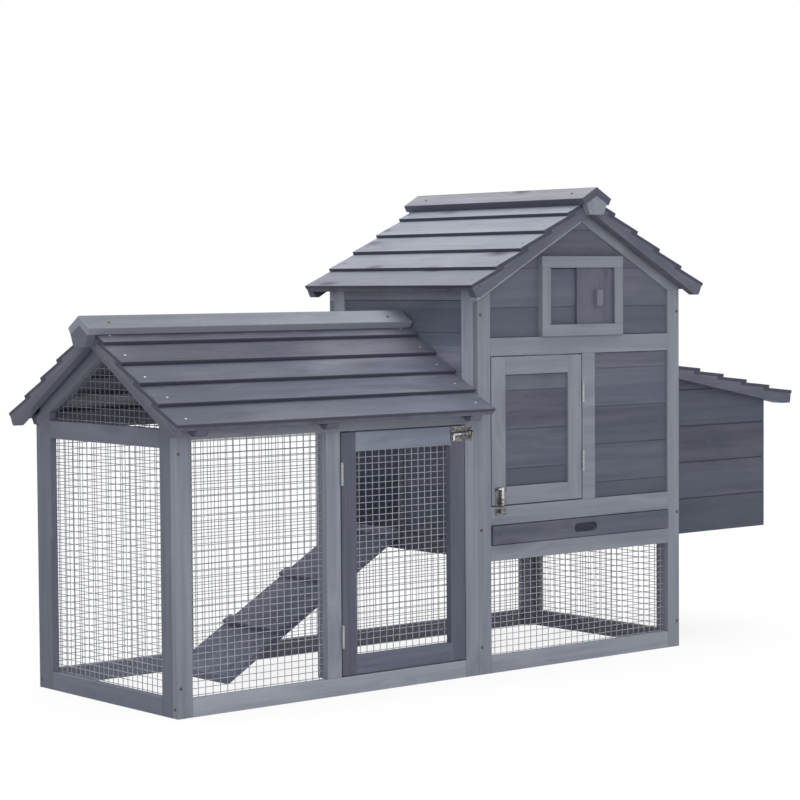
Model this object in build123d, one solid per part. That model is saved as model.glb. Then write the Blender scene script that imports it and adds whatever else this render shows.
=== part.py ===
import os
from math import asin, cos, degrees, radians, sin, tan

from build123d import *

# Sizes are in millimetres and angles in degrees. X runs along the front from the run's outer
# end, Y runs from the front face to the back, and Z runs up from the ground.

# Plan of the run and of the coop
run_length = 765.0
coop_length = 605.0
depth = 500.0

# Frame timber
timber_thickness = 16.0
stile_width = 36.0
rail_height = 36.0
rafter_width = 36.0
inner_batten_side = 20.0
arris = 0.8

# Run frame
hinge_post_left = 362.0
back_post_left = 338.0
run_top_rail_underside = 530.0
end_rail_underside = 515.0
inner_batten_height = 500.0

# Run roof
run_roof_apex = 731.0
run_roof_pitch = 31.3
run_slope_length = 349.6
run_exposure = 72.8
run_verge = 31.0
run_batten_left = 18.0
run_batten_middle = 332.0
run_batten_right = 707.0
run_cap_overhang = 21.0
run_cap_width = 36.0

# Coop frame
tray_rail_underside = 237.0
tray_rail_height = 33.0
tray_opening_height = 43.0
sill_height = 39.0
door_opening_height = 318.0
lintel_height = 38.0
mullion_left = 303.5
mullion_width = 38.0
side_top_rail_underside = 788.0
side_floor_rail_underside = 246.0
coop_batten_height = 700.0

# Pop-hole in the coop's left wall
pop_hole_width = 184.0
pop_hole_height = 230.0
pop_jamb_width = 18.0

# Coop roof
coop_roof_apex = 994.0
coop_roof_pitch = 29.0
coop_slope_length = 390.0
coop_exposure = 78.7
coop_verge = 32.0
coop_cap_overhang = 16.0
coop_cap_width = 41.0

# Lapped boards, battens and ridge caps, alike on every roof
roof_board_thickness = 7.0
board_lap = 20.0
lap_gap = 0.2
ridge_gap = 6.0
eave_strip_width = 20.0
eave_strip_inset = 2.0
batten_depth = 19.0
batten_width = 30.0
verge_batten_width = 19.0
batten_toe = 14.0
cap_thickness = 16.0
cap_steepening = 1.0
ridge_block_width = 60.0
ridge_block_foot_width = 42.0
ridge_block_drop = 26.0

# Level wall boards
board_pitch = 83.0
board_thickness = 8.0
board_recess = 6.0
groove_depth = 1.5
narrowest_board = 12.0
panel_groove = 386.0
door_groove = 429.5
gable_groove = 771.0
nest_groove = 327.5

# Nets
net_pitch_across = 34.6
net_pitch_up = 26.4
net_wire = 1.6
net_thickness = 1.2
net_lap = 8.0
smallest_net_gap = 20.0

# Doors, hinges and bolts
door_gap = 2.5
run_door_member = 38.0
coop_door_stile = 40.0
coop_door_rail = 38.0
hinge_height = 45.0
hinge_leaf_width = 13.0
hinge_leaf_thickness = 1.0
knuckle_radius = 3.2
knuckle_clearance = 0.3
pin_radius = 1.5
pin_clearance = 0.05
pin_head_radius = 2.4
pin_head_height = 1.5
run_hinge_low = 95.0
run_hinge_high = 422.0
coop_hinge_low = 413.0
coop_hinge_high = 563.0
bolt_plate_length = 38.0
bolt_plate_width = 32.0
bolt_plate_thickness = 1.2
bolt_radius = 3.5
bolt_clearance = 0.1
bolt_height = 6.0
bolt_loop_wall = 1.9
bolt_guide_length = 6.0
bolt_travel = 17.0
bolt_handle_radius = 2.4
bolt_handle_length = 13.0
bolt_tip_setback = 0.5
keeper_play = 1.7
keeper_length = 15.0
keeper_distance = 5.0
run_bolt_from_top = 16.0
coop_bolt_from_edge = 24.0

# Window in the front gable
window_left = 179.0
window_width = 242.0
window_height = 172.0
trim_width = 25.0
trim_thickness = 6.0
guide_width = 16.0
guide_thickness = 8.0
shutter_width = 117.0
shutter_thickness = 7.0
shutter_clearance = 0.5
knob_width = 18.0
knob_height = 36.0
knob_depth = 13.0
knob_round = 4.0
knob_from_bottom = 47.0
vent_width = 70.0
vent_height = 108.0

# Tray and perch
tray_clearance = 2.0
tray_front_thickness = 12.0
tray_front_proud = 4.0
tray_length = 456.0
tray_base_thickness = 6.0
tray_lip_height = 22.0
tray_gap = 1.5
tray_slot_middle = 309.0
tray_slot_length = 68.0
tray_slot_height = 20.0
runner_width = 40.0
runner_height = 20.0
runner_clearance = 0.2
perch_side = 24.0
perch_underside = 430.0

# Nest box
nest_length = 329.0
nest_inset = 40.0
nest_underside = 248.0
nest_wall_thickness = 12.0
nest_floor_thickness = 8.0
nest_floor_raise = 8.0
nest_divider_thickness = 9.0
nest_divider_height = 156.0
nest_batten_height = 270.0
nest_head_underside = 618.0
nest_rear_top = 625.5
lid_pitch = 11.0
lid_slope_length = 398.9
lid_exposure = 79.5
lid_overhang = 30.0
lid_wall_gap = 2.5
lid_seat_gap = 0.3
lid_side_gap = 0.5
lid_hinge_inset = 60.0

# Ramp
ramp_pitch = 30.6
ramp_top_height = 290.0
ramp_thickness = 14.0
ramp_width = 197.0
cleat_width = 24.0
cleat_height = 9.0
cleat_pitch = 176.5
cleat_count = 3
cleat_head = 9.2

# Screws
screw_radius = 3.5
screw_height = 0.8
run_low_screw = 58.0
run_high_screw = 505.0
coop_middle_screw = 305.0
coop_high_screw = 757.0

# Places that follow from the sizes
coop_end = run_length + coop_length
coop_middle = run_length + coop_length / 2
coop_inner_left = run_length + stile_width
coop_inner_right = coop_end - stile_width
side_inner = timber_thickness + stile_width
run_inner_right = run_length - stile_width
hinge_post_right = hinge_post_left + stile_width
tray_rail_top = tray_rail_underside + tray_rail_height
sill_underside = tray_rail_top + tray_opening_height
sill_top = sill_underside + sill_height
lintel_underside = sill_top + door_opening_height
lintel_top = lintel_underside + lintel_height
mullion_low = run_length + mullion_left
mullion_high = mullion_low + mullion_width
side_floor = side_floor_rail_underside + rail_height
nest_head_top = nest_head_underside + rail_height
nest_end = coop_end + nest_length
batten_back = timber_thickness + net_thickness
on_end = (Align.CENTER, Align.CENTER, Align.MIN)


def spread(axis, level, a, b):
    if axis == "x":
        return Vector(level, a, b)
    if axis == "y":
        return Vector(a, level, b)
    return Vector(a, b, level)


def block(x_low, x_high, y_low, y_high, z_low, z_high):
    corner = (Align.MIN, Align.MIN, Align.MIN)
    shape = Box(x_high - x_low, y_high - y_low, z_high - z_low, align=corner)
    return (Pos(x_low, y_low, z_low) * shape).solid()


def prism(outline, axis, low, high):
    face = Face(Wire.make_polygon([spread(axis, low, a, b) for a, b in outline]))
    return extrude(face, amount=high - low, dir=spread(axis, 1, 0, 0)).solid()


def eased(solid):
    return chamfer(solid.edges(), arris).solid()


def timber(x_low, x_high, y_low, y_high, z_low, z_high):
    return eased(block(x_low, x_high, y_low, y_high, z_low, z_high))


def cut_timber(outline, axis, low, high):
    return eased(prism(outline, axis, low, high))


def to_back(solids):
    plane = Plane(origin=(0, depth / 2, 0), z_dir=(0, 1, 0))
    return [mirror(solid, about=plane).solid() for solid in solids]


def to_right(solids):
    plane = Plane(origin=(coop_middle, 0, 0), z_dir=(1, 0, 0))
    return [mirror(solid, about=plane).solid() for solid in solids]


class Slope:
    # One side of a roof. "Along" runs downhill from the ridge and "above" is square to the slope.
    def __init__(self, ridge, apex, pitch, side):
        self.ridge = ridge
        self.apex = apex
        self.angle = radians(pitch)
        self.side = side

    def point(self, along, above):
        across = along * cos(self.angle) + above * sin(self.angle)
        height = self.apex - along * sin(self.angle) + above * cos(self.angle)
        return (self.ridge + self.side * across, height)

    def outline(self, points):
        return [self.point(along, above) for along, above in points]

    def height(self, place, below=0.0):
        fall = abs(place - self.ridge) * tan(self.angle)
        return self.apex - fall - below / cos(self.angle)


run_front_slope = Slope(depth / 2, run_roof_apex, run_roof_pitch, -1)
run_back_slope = Slope(depth / 2, run_roof_apex, run_roof_pitch, 1)
coop_left_slope = Slope(coop_middle, coop_roof_apex, coop_roof_pitch, -1)
coop_right_slope = Slope(coop_middle, coop_roof_apex, coop_roof_pitch, 1)
lid_slope = Slope(coop_end, nest_rear_top, lid_pitch, 1)


# Nets

def clip(outline, point, normal):
    # The part of a convex outline on the side of the line that the normal points to.
    kept = []
    for (ax, ay), (bx, by) in zip(outline, outline[1:] + outline[:1]):
        a_side = (ax - point[0]) * normal[0] + (ay - point[1]) * normal[1]
        b_side = (bx - point[0]) * normal[0] + (by - point[1]) * normal[1]
        if a_side >= 0:
            kept.append((ax, ay))
        if a_side * b_side < 0:
            share = a_side / (a_side - b_side)
            kept.append((ax + share * (bx - ax), ay + share * (by - ay)))
    return kept


def inside(hole, outline, margin):
    for (ax, ay), (bx, by) in zip(outline, outline[1:] + outline[:1]):
        length = ((bx - ax) ** 2 + (by - ay) ** 2) ** 0.5
        normal = ((ay - by) / length, (bx - ax) / length)
        start = (ax + normal[0] * margin, ay + normal[1] * margin)
        hole = clip(hole, start, normal)
        if not hole:
            return hole
    return hole


def area(outline):
    pairs = zip(outline, outline[1:] + outline[:1])
    return abs(sum(ax * by - bx * ay for (ax, ay), (bx, by) in pairs)) / 2


def net(outline, axis, low):
    # A welded net over a convex outline, which is listed counter-clockwise.
    left = min(a for a, b in outline)
    right = max(a for a, b in outline)
    bottom = min(b for a, b in outline)
    top = max(b for a, b in outline)
    columns = round((right - left) / net_pitch_across)
    rows = round((top - bottom) / net_pitch_up)
    width = (right - left - net_wire) / columns
    height = (top - bottom - net_wire) / rows
    holes = []
    for column in range(columns):
        for row in range(rows):
            a = left + net_wire + column * width
            b = bottom + net_wire + row * height
            cell = [(a, b), (a + width - net_wire, b)]
            cell += [(a + width - net_wire, b + height - net_wire), (a, b + height - net_wire)]
            hole = inside(cell, outline, net_wire)
            if len(hole) > 2 and area(hole) > smallest_net_gap:
                holes.append(Wire.make_polygon([spread(axis, low, *place) for place in hole]))
    rim = Wire.make_polygon([spread(axis, low, *place) for place in outline])
    return extrude(Face(rim, holes), amount=net_thickness, dir=spread(axis, 1, 0, 0)).solid()


def bay_net(a_low, a_high, z_low, z_high, axis, low):
    a_low, a_high = a_low - net_lap, a_high + net_lap
    z_low, z_high = z_low - net_lap, z_high + net_lap
    return net([(a_low, z_low), (a_high, z_low), (a_high, z_high), (a_low, z_high)], axis, low)


# Roof parts

def board_tilt(exposure):
    return asin((roof_board_thickness + lap_gap) / exposure)


def board_lift(exposure):
    return (exposure + board_lap) * sin(board_tilt(exposure))


def lapped_board(low, high, exposure):
    tilt = board_tilt(exposure)
    width = (low - high) / cos(tilt)
    lower = (low, board_lift(exposure))
    upper = (high, lower[1] - width * sin(tilt))
    out = (-roof_board_thickness * sin(tilt), roof_board_thickness * cos(tilt))
    return [lower, upper, (upper[0] + out[0], upper[1] + out[1]), (lower[0] + out[0], lower[1] + out[1])]


def lapped_slope(length, exposure, top_end):
    # Outlines of a slope's boards, from the eave to the ridge.
    span = (exposure + board_lap) * cos(board_tilt(exposure))
    outlines = []
    low = length
    while low > top_end + board_lap:
        outlines.append(lapped_board(low, max(low - span, top_end), exposure))
        low -= exposure
    return outlines


def roof_boards(slope, length, exposure, top_end, axis, low, high):
    outlines = lapped_slope(length, exposure, top_end)
    return [cut_timber(slope.outline(outline), axis, low, high) for outline in outlines]


def eave_strip(slope, length, exposure, axis, low, high):
    # Lies under the lower edge of the lowest board.
    toe = length - eave_strip_inset
    heel = toe - eave_strip_width
    rise = tan(board_tilt(exposure))
    toe_top = board_lift(exposure) - (length - toe) * rise
    heel_top = board_lift(exposure) - (length - heel) * rise
    outline = [(toe, 0), (toe, toe_top), (heel, heel_top), (heel, 0)]
    return cut_timber(slope.outline(outline), axis, low, high)


def batten(slope, head, length, axis, low, high):
    # Lies under the boards, with its lower end cut level.
    end = length - eave_strip_inset
    level_cut = end - (batten_depth - batten_toe) / tan(slope.angle)
    plumb_cut = head + batten_depth * tan(slope.angle)
    outline = [(head, 0), (end, 0), (end, -batten_toe)]
    outline += [(level_cut, -batten_depth), (plumb_cut, -batten_depth)]
    return cut_timber(slope.outline(outline), axis, low, high)


def lap_teeth(length, exposure):
    # Fills the space under the lapped boards, from the topmost board to the eave strip.
    rise = tan(board_tilt(exposure))
    boards = lapped_slope(length, exposure, ridge_gap)[::-1]
    stops = [board[1][0] for board in boards[1:]] + [length - eave_strip_inset - eave_strip_width]
    teeth = []
    for board, stop in zip(boards, stops):
        upper, height = board[1]
        start = upper + max(lap_gap - height, 0) / rise
        stop -= lap_gap + roof_board_thickness * sin(board_tilt(exposure))
        peak = height - lap_gap + (stop - upper) * rise
        teeth += [(start, max(height - lap_gap, 0)), (stop, peak), (stop, 0)]
    return teeth


def verge_batten(slope, head, length, exposure, axis, low, high):
    # A batten cut on top to the laps of the boards, so that the verge is closed.
    end = length - eave_strip_inset
    level_cut = end - (batten_depth - batten_toe) / tan(slope.angle)
    plumb_cut = head + batten_depth * tan(slope.angle)
    outline = [(head, 0), (ridge_gap, 0)] + lap_teeth(length, exposure) + [(end, 0), (end, -batten_toe)]
    outline += [(level_cut, -batten_depth), (plumb_cut, -batten_depth)]
    return prism(slope.outline(outline), axis, low, high)


def cap_underside(slope, length, exposure, width):
    # Height of the cap's underside at the ridge, with its lower edge on the top board.
    top_board = lapped_slope(length, exposure, ridge_gap)[-1]
    place, height = slope.point(*top_board[3])
    angle = slope.angle + radians(cap_steepening)
    run_in = abs(place - slope.ridge) - width * cos(angle)
    board_height = height + run_in * tan(slope.angle - board_tilt(exposure))
    return board_height + lap_gap + width * sin(angle)


def ridge_cap(slopes, length, exposure, width, axis, low, high):
    boards = []
    for slope in slopes:
        underside = cap_underside(slope, length, exposure, width)
        cap = Slope(slope.ridge, underside, degrees(slope.angle) + cap_steepening, slope.side)
        ridge_top = (slope.ridge, underside + cap_thickness / cos(cap.angle))
        outline = cap.outline([(0, 0), (width, 0), (width, cap_thickness)]) + [ridge_top]
        boards.append(cut_timber(outline, axis, low, high))
    return boards


def ridge_block(slope, length, exposure, width, axis, low, high):
    # Fills the end of the cap and narrows towards its foot.
    peak = cap_underside(slope, length, exposure, width)
    half = ridge_block_width / 2
    foot = ridge_block_foot_width / 2
    shoulder = peak - half * tan(slope.angle + radians(cap_steepening))
    base = slope.apex - ridge_block_drop
    middle = slope.ridge
    outline = [(middle - foot, base), (middle + foot, base), (middle + half, shoulder)]
    outline += [(middle, peak), (middle - half, shoulder)]
    return cut_timber(outline, axis, low, high)


def rafter(slope, foot, axis, low, high):
    # One rafter, cut plumb at the ridge and at its foot.
    top = [(slope.ridge, slope.apex), (foot, slope.height(foot))]
    under = [(foot, slope.height(foot, rafter_width)), (slope.ridge, slope.height(slope.ridge, rafter_width))]
    return cut_timber(top + under, axis, low, high)


# Wall boards

def wall_boards(axis, low, high, bottom, top, face, inward, groove):
    outer = face + inward * board_recess
    return level_boards(axis, low, high, bottom, top, outer, inward * board_thickness, groove)


def level_boards(axis, low, high, bottom, top, outer, thickness, groove):
    # Level boards with grooves between them. Thickness is signed, from the outer face inwards.
    inner = outer + thickness
    shoulder = outer + groove_depth * thickness / abs(thickness)
    span = int((top - bottom) / board_pitch) + 1
    grooves = [groove + step * board_pitch for step in range(-span, span + 1)]
    inside_grooves = [g for g in grooves if bottom + narrowest_board < g < top - narrowest_board]
    edges = [bottom] + inside_grooves + [top]
    boards = []
    for z_low, z_high in zip(edges, edges[1:]):
        back = [(shoulder, z_low), (inner, z_low), (inner, z_high), (shoulder, z_high)]
        front = [(outer, z_high - groove_depth), (outer, z_low + groove_depth)]
        boards.append(prism(back + front, axis, low, high))
    return boards


def gable_outline(middle, half, bottom, slope, below):
    shoulder = slope.height(middle + half, below)
    peak = slope.height(middle, below)
    outline = [(middle - half, bottom), (middle + half, bottom), (middle + half, shoulder)]
    return outline + [(middle, peak), (middle - half, shoulder)]


# Run frame

def run_front_top(y):
    return run_front_slope.height(y, batten_depth)


def run_end_post(x_low):
    slant = [(0, 0), (timber_thickness, 0)]
    slant += [(timber_thickness, run_front_top(timber_thickness)), (0, run_front_top(0))]
    return cut_timber(slant, "x", x_low, x_low + stile_width)


def run_long_stiles(post_left):
    x_span = (post_left, post_left + stile_width)
    post = timber(*x_span, 0, timber_thickness, rail_height, run_top_rail_underside)
    return [run_end_post(0), post, run_end_post(run_inner_right)]


def run_long_rails():
    bottom = timber(stile_width, run_inner_right, 0, timber_thickness, 0, rail_height)
    slant = [(0, run_top_rail_underside), (timber_thickness, run_top_rail_underside)]
    slant += [(timber_thickness, run_front_top(timber_thickness)), (0, run_front_top(0))]
    return [bottom, cut_timber(slant, "x", stile_width, run_inner_right)]


def run_end_stiles():
    near, far = timber_thickness, side_inner
    outline = [(near, 0), (far, 0)]
    outline += [(y, run_front_slope.height(y, rafter_width)) for y in (far, near)]
    front = cut_timber(outline, "x", 0, timber_thickness)
    return [front] + to_back([front])


def run_end_rails():
    span = (side_inner, depth - side_inner)
    bottom = timber(0, timber_thickness, *span, 0, rail_height)
    top = timber(0, timber_thickness, *span, end_rail_underside, end_rail_underside + rail_height)
    return [bottom, top]


def run_end_rafters():
    front = rafter(run_front_slope, timber_thickness, "x", 0, timber_thickness)
    return [front] + to_back([front])


def run_end_nets():
    lower = bay_net(side_inner, depth - side_inner, rail_height, end_rail_underside, "x", timber_thickness)
    half = depth / 2 - side_inner + net_lap
    bottom = end_rail_underside + rail_height - net_lap
    outline = gable_outline(depth / 2, half, bottom, run_front_slope, rafter_width - net_lap)
    return [lower, net(outline, "x", timber_thickness)]


def run_front_net():
    return [bay_net(stile_width, hinge_post_left, rail_height, run_top_rail_underside, "y", timber_thickness)]


def run_back_nets():
    level = depth - timber_thickness - net_thickness
    bays = [(stile_width, back_post_left), (back_post_left + stile_width, run_inner_right)]
    return [bay_net(*bay, rail_height, run_top_rail_underside, "y", level) for bay in bays]


def inner_batten(x_low, height):
    front = timber(x_low, x_low + inner_batten_side, batten_back, batten_back + inner_batten_side, 0, height)
    return [front] + to_back([front])


def inner_battens():
    run_corners = inner_batten(run_length - inner_batten_side, inner_batten_height)
    coop_corners = inner_batten(run_length + timber_thickness, coop_batten_height)
    coop_corners += inner_batten(coop_end - timber_thickness - inner_batten_side, coop_batten_height)
    post_span = (batten_back, batten_back + timber_thickness, rail_height, run_top_rail_underside)
    post = timber(hinge_post_left, hinge_post_right, *post_span)
    floor = nest_underside + nest_floor_raise + nest_floor_thickness
    wall = nest_inset + nest_wall_thickness
    x_high = nest_end - nest_wall_thickness
    nest_span = (wall, wall + inner_batten_side, floor, floor + nest_batten_height)
    nest = timber(x_high - inner_batten_side, x_high, *nest_span)
    return run_corners + coop_corners + [post, nest] + to_back([nest])


# Run roof

def run_roof_boards(slope):
    return roof_boards(slope, run_slope_length, run_exposure, ridge_gap, "x", -run_verge, run_length)


def run_roof_battens():
    lefts = (run_batten_left, run_batten_middle, run_batten_right)
    places = [(left, left + batten_width) for left in lefts]
    verge = (-run_verge, verge_batten_width - run_verge)
    parts = []
    for slope in (run_front_slope, run_back_slope):
        parts += [batten(slope, 0, run_slope_length, "x", *place) for place in places]
        parts.append(verge_batten(slope, 0, run_slope_length, run_exposure, "x", *verge))
        parts.append(eave_strip(slope, run_slope_length, run_exposure, "x", -run_verge, run_length))
    return parts


def run_ridge_cap():
    slopes = (run_front_slope, run_back_slope)
    left = -run_verge - run_cap_overhang
    return ridge_cap(slopes, run_slope_length, run_exposure, run_cap_width, "x", left, run_length)


def ridge_blocks():
    run_span = (-run_verge - run_cap_overhang, -run_verge)
    run = ridge_block(run_front_slope, run_slope_length, run_exposure, run_cap_width, "x", *run_span)
    coop_span = (-coop_verge - coop_cap_overhang, -coop_verge)
    coop = ridge_block(coop_left_slope, coop_slope_length, coop_exposure, coop_cap_width, "y", *coop_span)
    return [run, coop] + to_back([coop])


# Ramp

ramp_y_low = depth - side_inner - pop_hole_width / 2 - ramp_width / 2
ramp_drop = ramp_thickness / cos(radians(ramp_pitch))
ramp_foot = run_length - (ramp_top_height - ramp_drop) / tan(radians(ramp_pitch))


def ramp_board():
    outline = [(ramp_foot, 0), (run_length, ramp_top_height - ramp_drop)]
    outline += [(run_length, ramp_top_height), (ramp_foot, ramp_drop)]
    return [cut_timber(outline, "y", ramp_y_low, ramp_y_low + ramp_width)]


def ramp_cleats():
    # Set out downwards from the ramp's upper end.
    angle = radians(ramp_pitch)
    cleats = []
    for step in range(cleat_count):
        high = cleat_head + step * cleat_pitch
        low = high + cleat_width
        outline = []
        for down, above in [(low, 0), (high, 0), (high, cleat_height), (low, cleat_height)]:
            x = run_length - down * cos(angle) - above * sin(angle)
            z = ramp_top_height - down * sin(angle) + above * cos(angle)
            outline.append((x, z))
        cleats.append(cut_timber(outline, "y", ramp_y_low, ramp_y_low + ramp_width))
    return cleats


# Coop frame

def coop_end_stiles():
    outline = [(run_length, 0), (coop_inner_left, 0)]
    outline += [(x, coop_left_slope.height(x, rafter_width)) for x in (coop_inner_left, run_length)]
    left = cut_timber(outline, "y", 0, timber_thickness)
    return [left] + to_right([left])


def coop_cross_rail(z_low, z_high):
    return timber(coop_inner_left, coop_inner_right, 0, timber_thickness, z_low, z_high)


def coop_mullion(z_low):
    return timber(mullion_low, mullion_high, 0, timber_thickness, z_low, lintel_underside)


def coop_front_rails():
    rails = [coop_cross_rail(0, rail_height), coop_cross_rail(tray_rail_underside, tray_rail_top)]
    rails += [coop_cross_rail(sill_underside, sill_top), coop_cross_rail(lintel_underside, lintel_top)]
    return rails + [coop_mullion(sill_top)]


def coop_back_rails():
    rails = [coop_cross_rail(0, rail_height), coop_cross_rail(tray_rail_underside, tray_rail_top)]
    rails += [coop_cross_rail(lintel_underside, lintel_top), coop_mullion(tray_rail_top)]
    return to_back(rails)


def coop_rafters():
    left = rafter(coop_left_slope, run_length, "y", 0, timber_thickness)
    front = [left] + to_right([left])
    return front + to_back(front)


def coop_side_stiles():
    x_high = run_length + timber_thickness
    outline = [(run_length, 0), (x_high, 0)]
    outline += [(x, coop_left_slope.height(x)) for x in (x_high, run_length)]
    front = cut_timber(outline, "y", timber_thickness, side_inner)
    left = [front] + to_back([front])
    return left + to_right(left)


def side_rail(z_low, z_high):
    x_high = run_length + timber_thickness
    return timber(run_length, x_high, side_inner, depth - side_inner, z_low, z_high)


def coop_side_rails():
    x_high = run_length + timber_thickness
    outline = [(run_length, side_top_rail_underside), (x_high, side_top_rail_underside)]
    outline += [(x, coop_left_slope.height(x)) for x in (x_high, run_length)]
    top = cut_timber(outline, "y", side_inner, depth - side_inner)
    floor = side_rail(side_floor_rail_underside, side_floor)
    head = side_rail(nest_head_underside, nest_head_top)
    bottom = side_rail(0, rail_height)
    jamb_back = depth - side_inner - pop_hole_width
    jamb_span = (jamb_back - pop_jamb_width, jamb_back, side_floor, side_floor + pop_hole_height)
    jamb = timber(run_length, x_high, *jamb_span)
    return [top, floor, jamb] + to_right([top, floor, head, bottom])


# Coop boards and nets

def gable_boards():
    half = coop_length / 2 - stile_width
    outline = gable_outline(coop_middle, half, lintel_top, coop_left_slope, rafter_width)
    opening = prism(outline, "y", 0, timber_thickness)
    peak = coop_left_slope.height(coop_middle, rafter_width)
    boards = wall_boards("x", coop_inner_left, coop_inner_right, lintel_top, peak, 0, 1, gable_groove)
    return [(board & opening).solid() for board in boards]


def coop_front_boards():
    vent_right = run_length + window_left + window_width - guide_width - (shutter_width - vent_width) / 2
    vent_bottom = lintel_top + (window_height - vent_height) / 2
    vent_span = (0, timber_thickness, vent_bottom, vent_bottom + vent_height)
    vent = block(vent_right - vent_width, vent_right, *vent_span)
    gable = [(board - vent).solid() for board in gable_boards()]
    panel = wall_boards("x", mullion_high, coop_inner_right, sill_top, lintel_underside, 0, 1, panel_groove)
    return gable + panel


def coop_back_boards():
    boards = gable_boards()
    for bay in ((coop_inner_left, mullion_low), (mullion_high, coop_inner_right)):
        boards += wall_boards("x", *bay, tray_rail_top, lintel_underside, 0, 1, panel_groove)
    return to_back(boards)


def coop_left_boards():
    pop_top = side_floor + pop_hole_height
    jamb_front = depth - side_inner - pop_hole_width - pop_jamb_width
    low = wall_boards("y", side_inner, jamb_front, side_floor, pop_top, run_length, 1, panel_groove)
    high_span = (side_inner, depth - side_inner, pop_top, side_top_rail_underside)
    return low + wall_boards("y", *high_span, run_length, 1, panel_groove)


def coop_right_boards():
    span = (side_inner, depth - side_inner, nest_head_top, side_top_rail_underside)
    return wall_boards("y", *span, coop_end, -1, panel_groove)


def coop_lower_nets():
    bay = (coop_inner_left, coop_inner_right, rail_height, tray_rail_underside)
    front = bay_net(*bay, "y", timber_thickness)
    back = bay_net(*bay, "y", depth - timber_thickness - net_thickness)
    side_bay = (side_inner, depth - side_inner, rail_height, side_floor_rail_underside)
    right = bay_net(*side_bay, "x", coop_end - timber_thickness - net_thickness)
    return [front, back, right]


# Coop roof

def coop_roof_boards(slope):
    span = (-coop_verge, depth + coop_verge)
    return roof_boards(slope, coop_slope_length, coop_exposure, ridge_gap, "y", *span)


def coop_roof_battens():
    span = (-coop_verge, depth + coop_verge)
    verge = (-coop_verge, verge_batten_width - coop_verge)
    parts = []
    for slope in (coop_left_slope, coop_right_slope):
        front = verge_batten(slope, 0, coop_slope_length, coop_exposure, "y", *verge)
        parts += [front] + to_back([front])
        parts.append(eave_strip(slope, coop_slope_length, coop_exposure, "y", *span))
    return parts


def coop_ridge_cap():
    slopes = (coop_left_slope, coop_right_slope)
    overhang = coop_verge + coop_cap_overhang
    span = (-overhang, depth + overhang)
    return ridge_cap(slopes, coop_slope_length, coop_exposure, coop_cap_width, "y", *span)


# Window

window_low = run_length + window_left
window_high = window_low + window_width
window_top = lintel_top + window_height
guide_back = board_recess
guide_front = guide_back - guide_thickness


def window_frame():
    front = guide_front - trim_thickness
    parts = []
    for z_low in (lintel_top, window_top - trim_width):
        parts.append(timber(window_low, window_high, front, guide_front, z_low, z_low + trim_width))
    for x_low in (window_low, window_high - trim_width):
        z_span = (lintel_top + trim_width, window_top - trim_width)
        parts.append(timber(x_low, x_low + trim_width, front, guide_front, *z_span))
    for z_low in (lintel_top, window_top - guide_width):
        parts.append(block(window_low, window_high, guide_front, guide_back, z_low, z_low + guide_width))
    for x_low in (window_low, window_high - guide_width):
        z_span = (lintel_top + guide_width, window_top - guide_width)
        parts.append(block(x_low, x_low + guide_width, guide_front, guide_back, *z_span))
    return parts


shutter_right = window_high - guide_width - shutter_clearance
shutter_front = guide_front + (guide_thickness - shutter_thickness) / 2


def shutter():
    z_low = lintel_top + guide_width + shutter_clearance
    z_high = window_top - guide_width - shutter_clearance
    x_span = (shutter_right - shutter_width, shutter_right)
    return [timber(*x_span, shutter_front, shutter_front + shutter_thickness, z_low, z_high)]


def shutter_knob():
    x_low = shutter_right - shutter_width / 2 - knob_width / 2
    z_low = lintel_top + guide_width + knob_from_bottom
    y_low = shutter_front - knob_depth
    knob = block(x_low, x_low + knob_width, y_low, shutter_front, z_low, z_low + knob_height)
    front_edges = knob.faces().sort_by(Axis.Y)[0].edges()
    return [fillet(front_edges, knob_round).solid()]


# Tray, runners and perch

tray_left = coop_inner_left + tray_clearance
tray_right = coop_inner_right - tray_clearance
tray_underside = tray_rail_top + tray_gap
tray_front_face = -tray_front_proud
tray_front_back = tray_front_face + tray_front_thickness


def tray_front():
    top = sill_underside - tray_gap
    board = timber(tray_left, tray_right, tray_front_face, tray_front_back, tray_underside, top)
    middle = Pos(run_length + tray_slot_middle, tray_front_back, (tray_underside + top) / 2)
    outline = Plane.XZ * SlotOverall(tray_slot_length, tray_slot_height)
    slot = extrude(middle * outline, tray_front_thickness)
    return [(board - slot).solid()]


def tray_base():
    back = tray_front_back + tray_length
    floor = tray_underside + tray_base_thickness
    lip = floor + tray_lip_height
    base = block(tray_left, tray_right, tray_front_back, back, tray_underside, floor)
    left = block(tray_left, tray_left + tray_base_thickness, tray_front_back, back, floor, lip)
    right = block(tray_right - tray_base_thickness, tray_right, tray_front_back, back, floor, lip)
    inner = (tray_left + tray_base_thickness, tray_right - tray_base_thickness)
    rear = block(*inner, back - tray_base_thickness, back, floor, lip)
    return [base, left, right, rear]


def tray_runners():
    batten_end = batten_back + inner_batten_side
    x_low = run_length + batten_back
    z_high = tray_underside - runner_clearance
    left = timber(x_low, x_low + runner_width, batten_end, depth - batten_end, z_high - runner_height, z_high)
    return [left] + to_right([left])


def perch():
    middle = (mullion_low + mullion_high) / 2
    x_span = (middle - perch_side / 2, middle + perch_side / 2)
    y_span = (timber_thickness, depth - timber_thickness)
    return [timber(*x_span, *y_span, perch_underside, perch_underside + perch_side)]


# Nest box

nest_wall_back = nest_inset + nest_wall_thickness
nest_end_inner = nest_end - nest_wall_thickness
nest_floor_top = nest_underside + nest_floor_raise + nest_floor_thickness


def nest_height(x):
    return lid_slope.height(x, lid_seat_gap)


def under_lid(boards):
    corners = [(coop_end, nest_underside), (nest_end, nest_underside)]
    corners += [(x, nest_height(x)) for x in (nest_end, coop_end)]
    envelope = prism(corners, "y", 0, depth)
    return [(board & envelope).solid() for board in boards]


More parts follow.
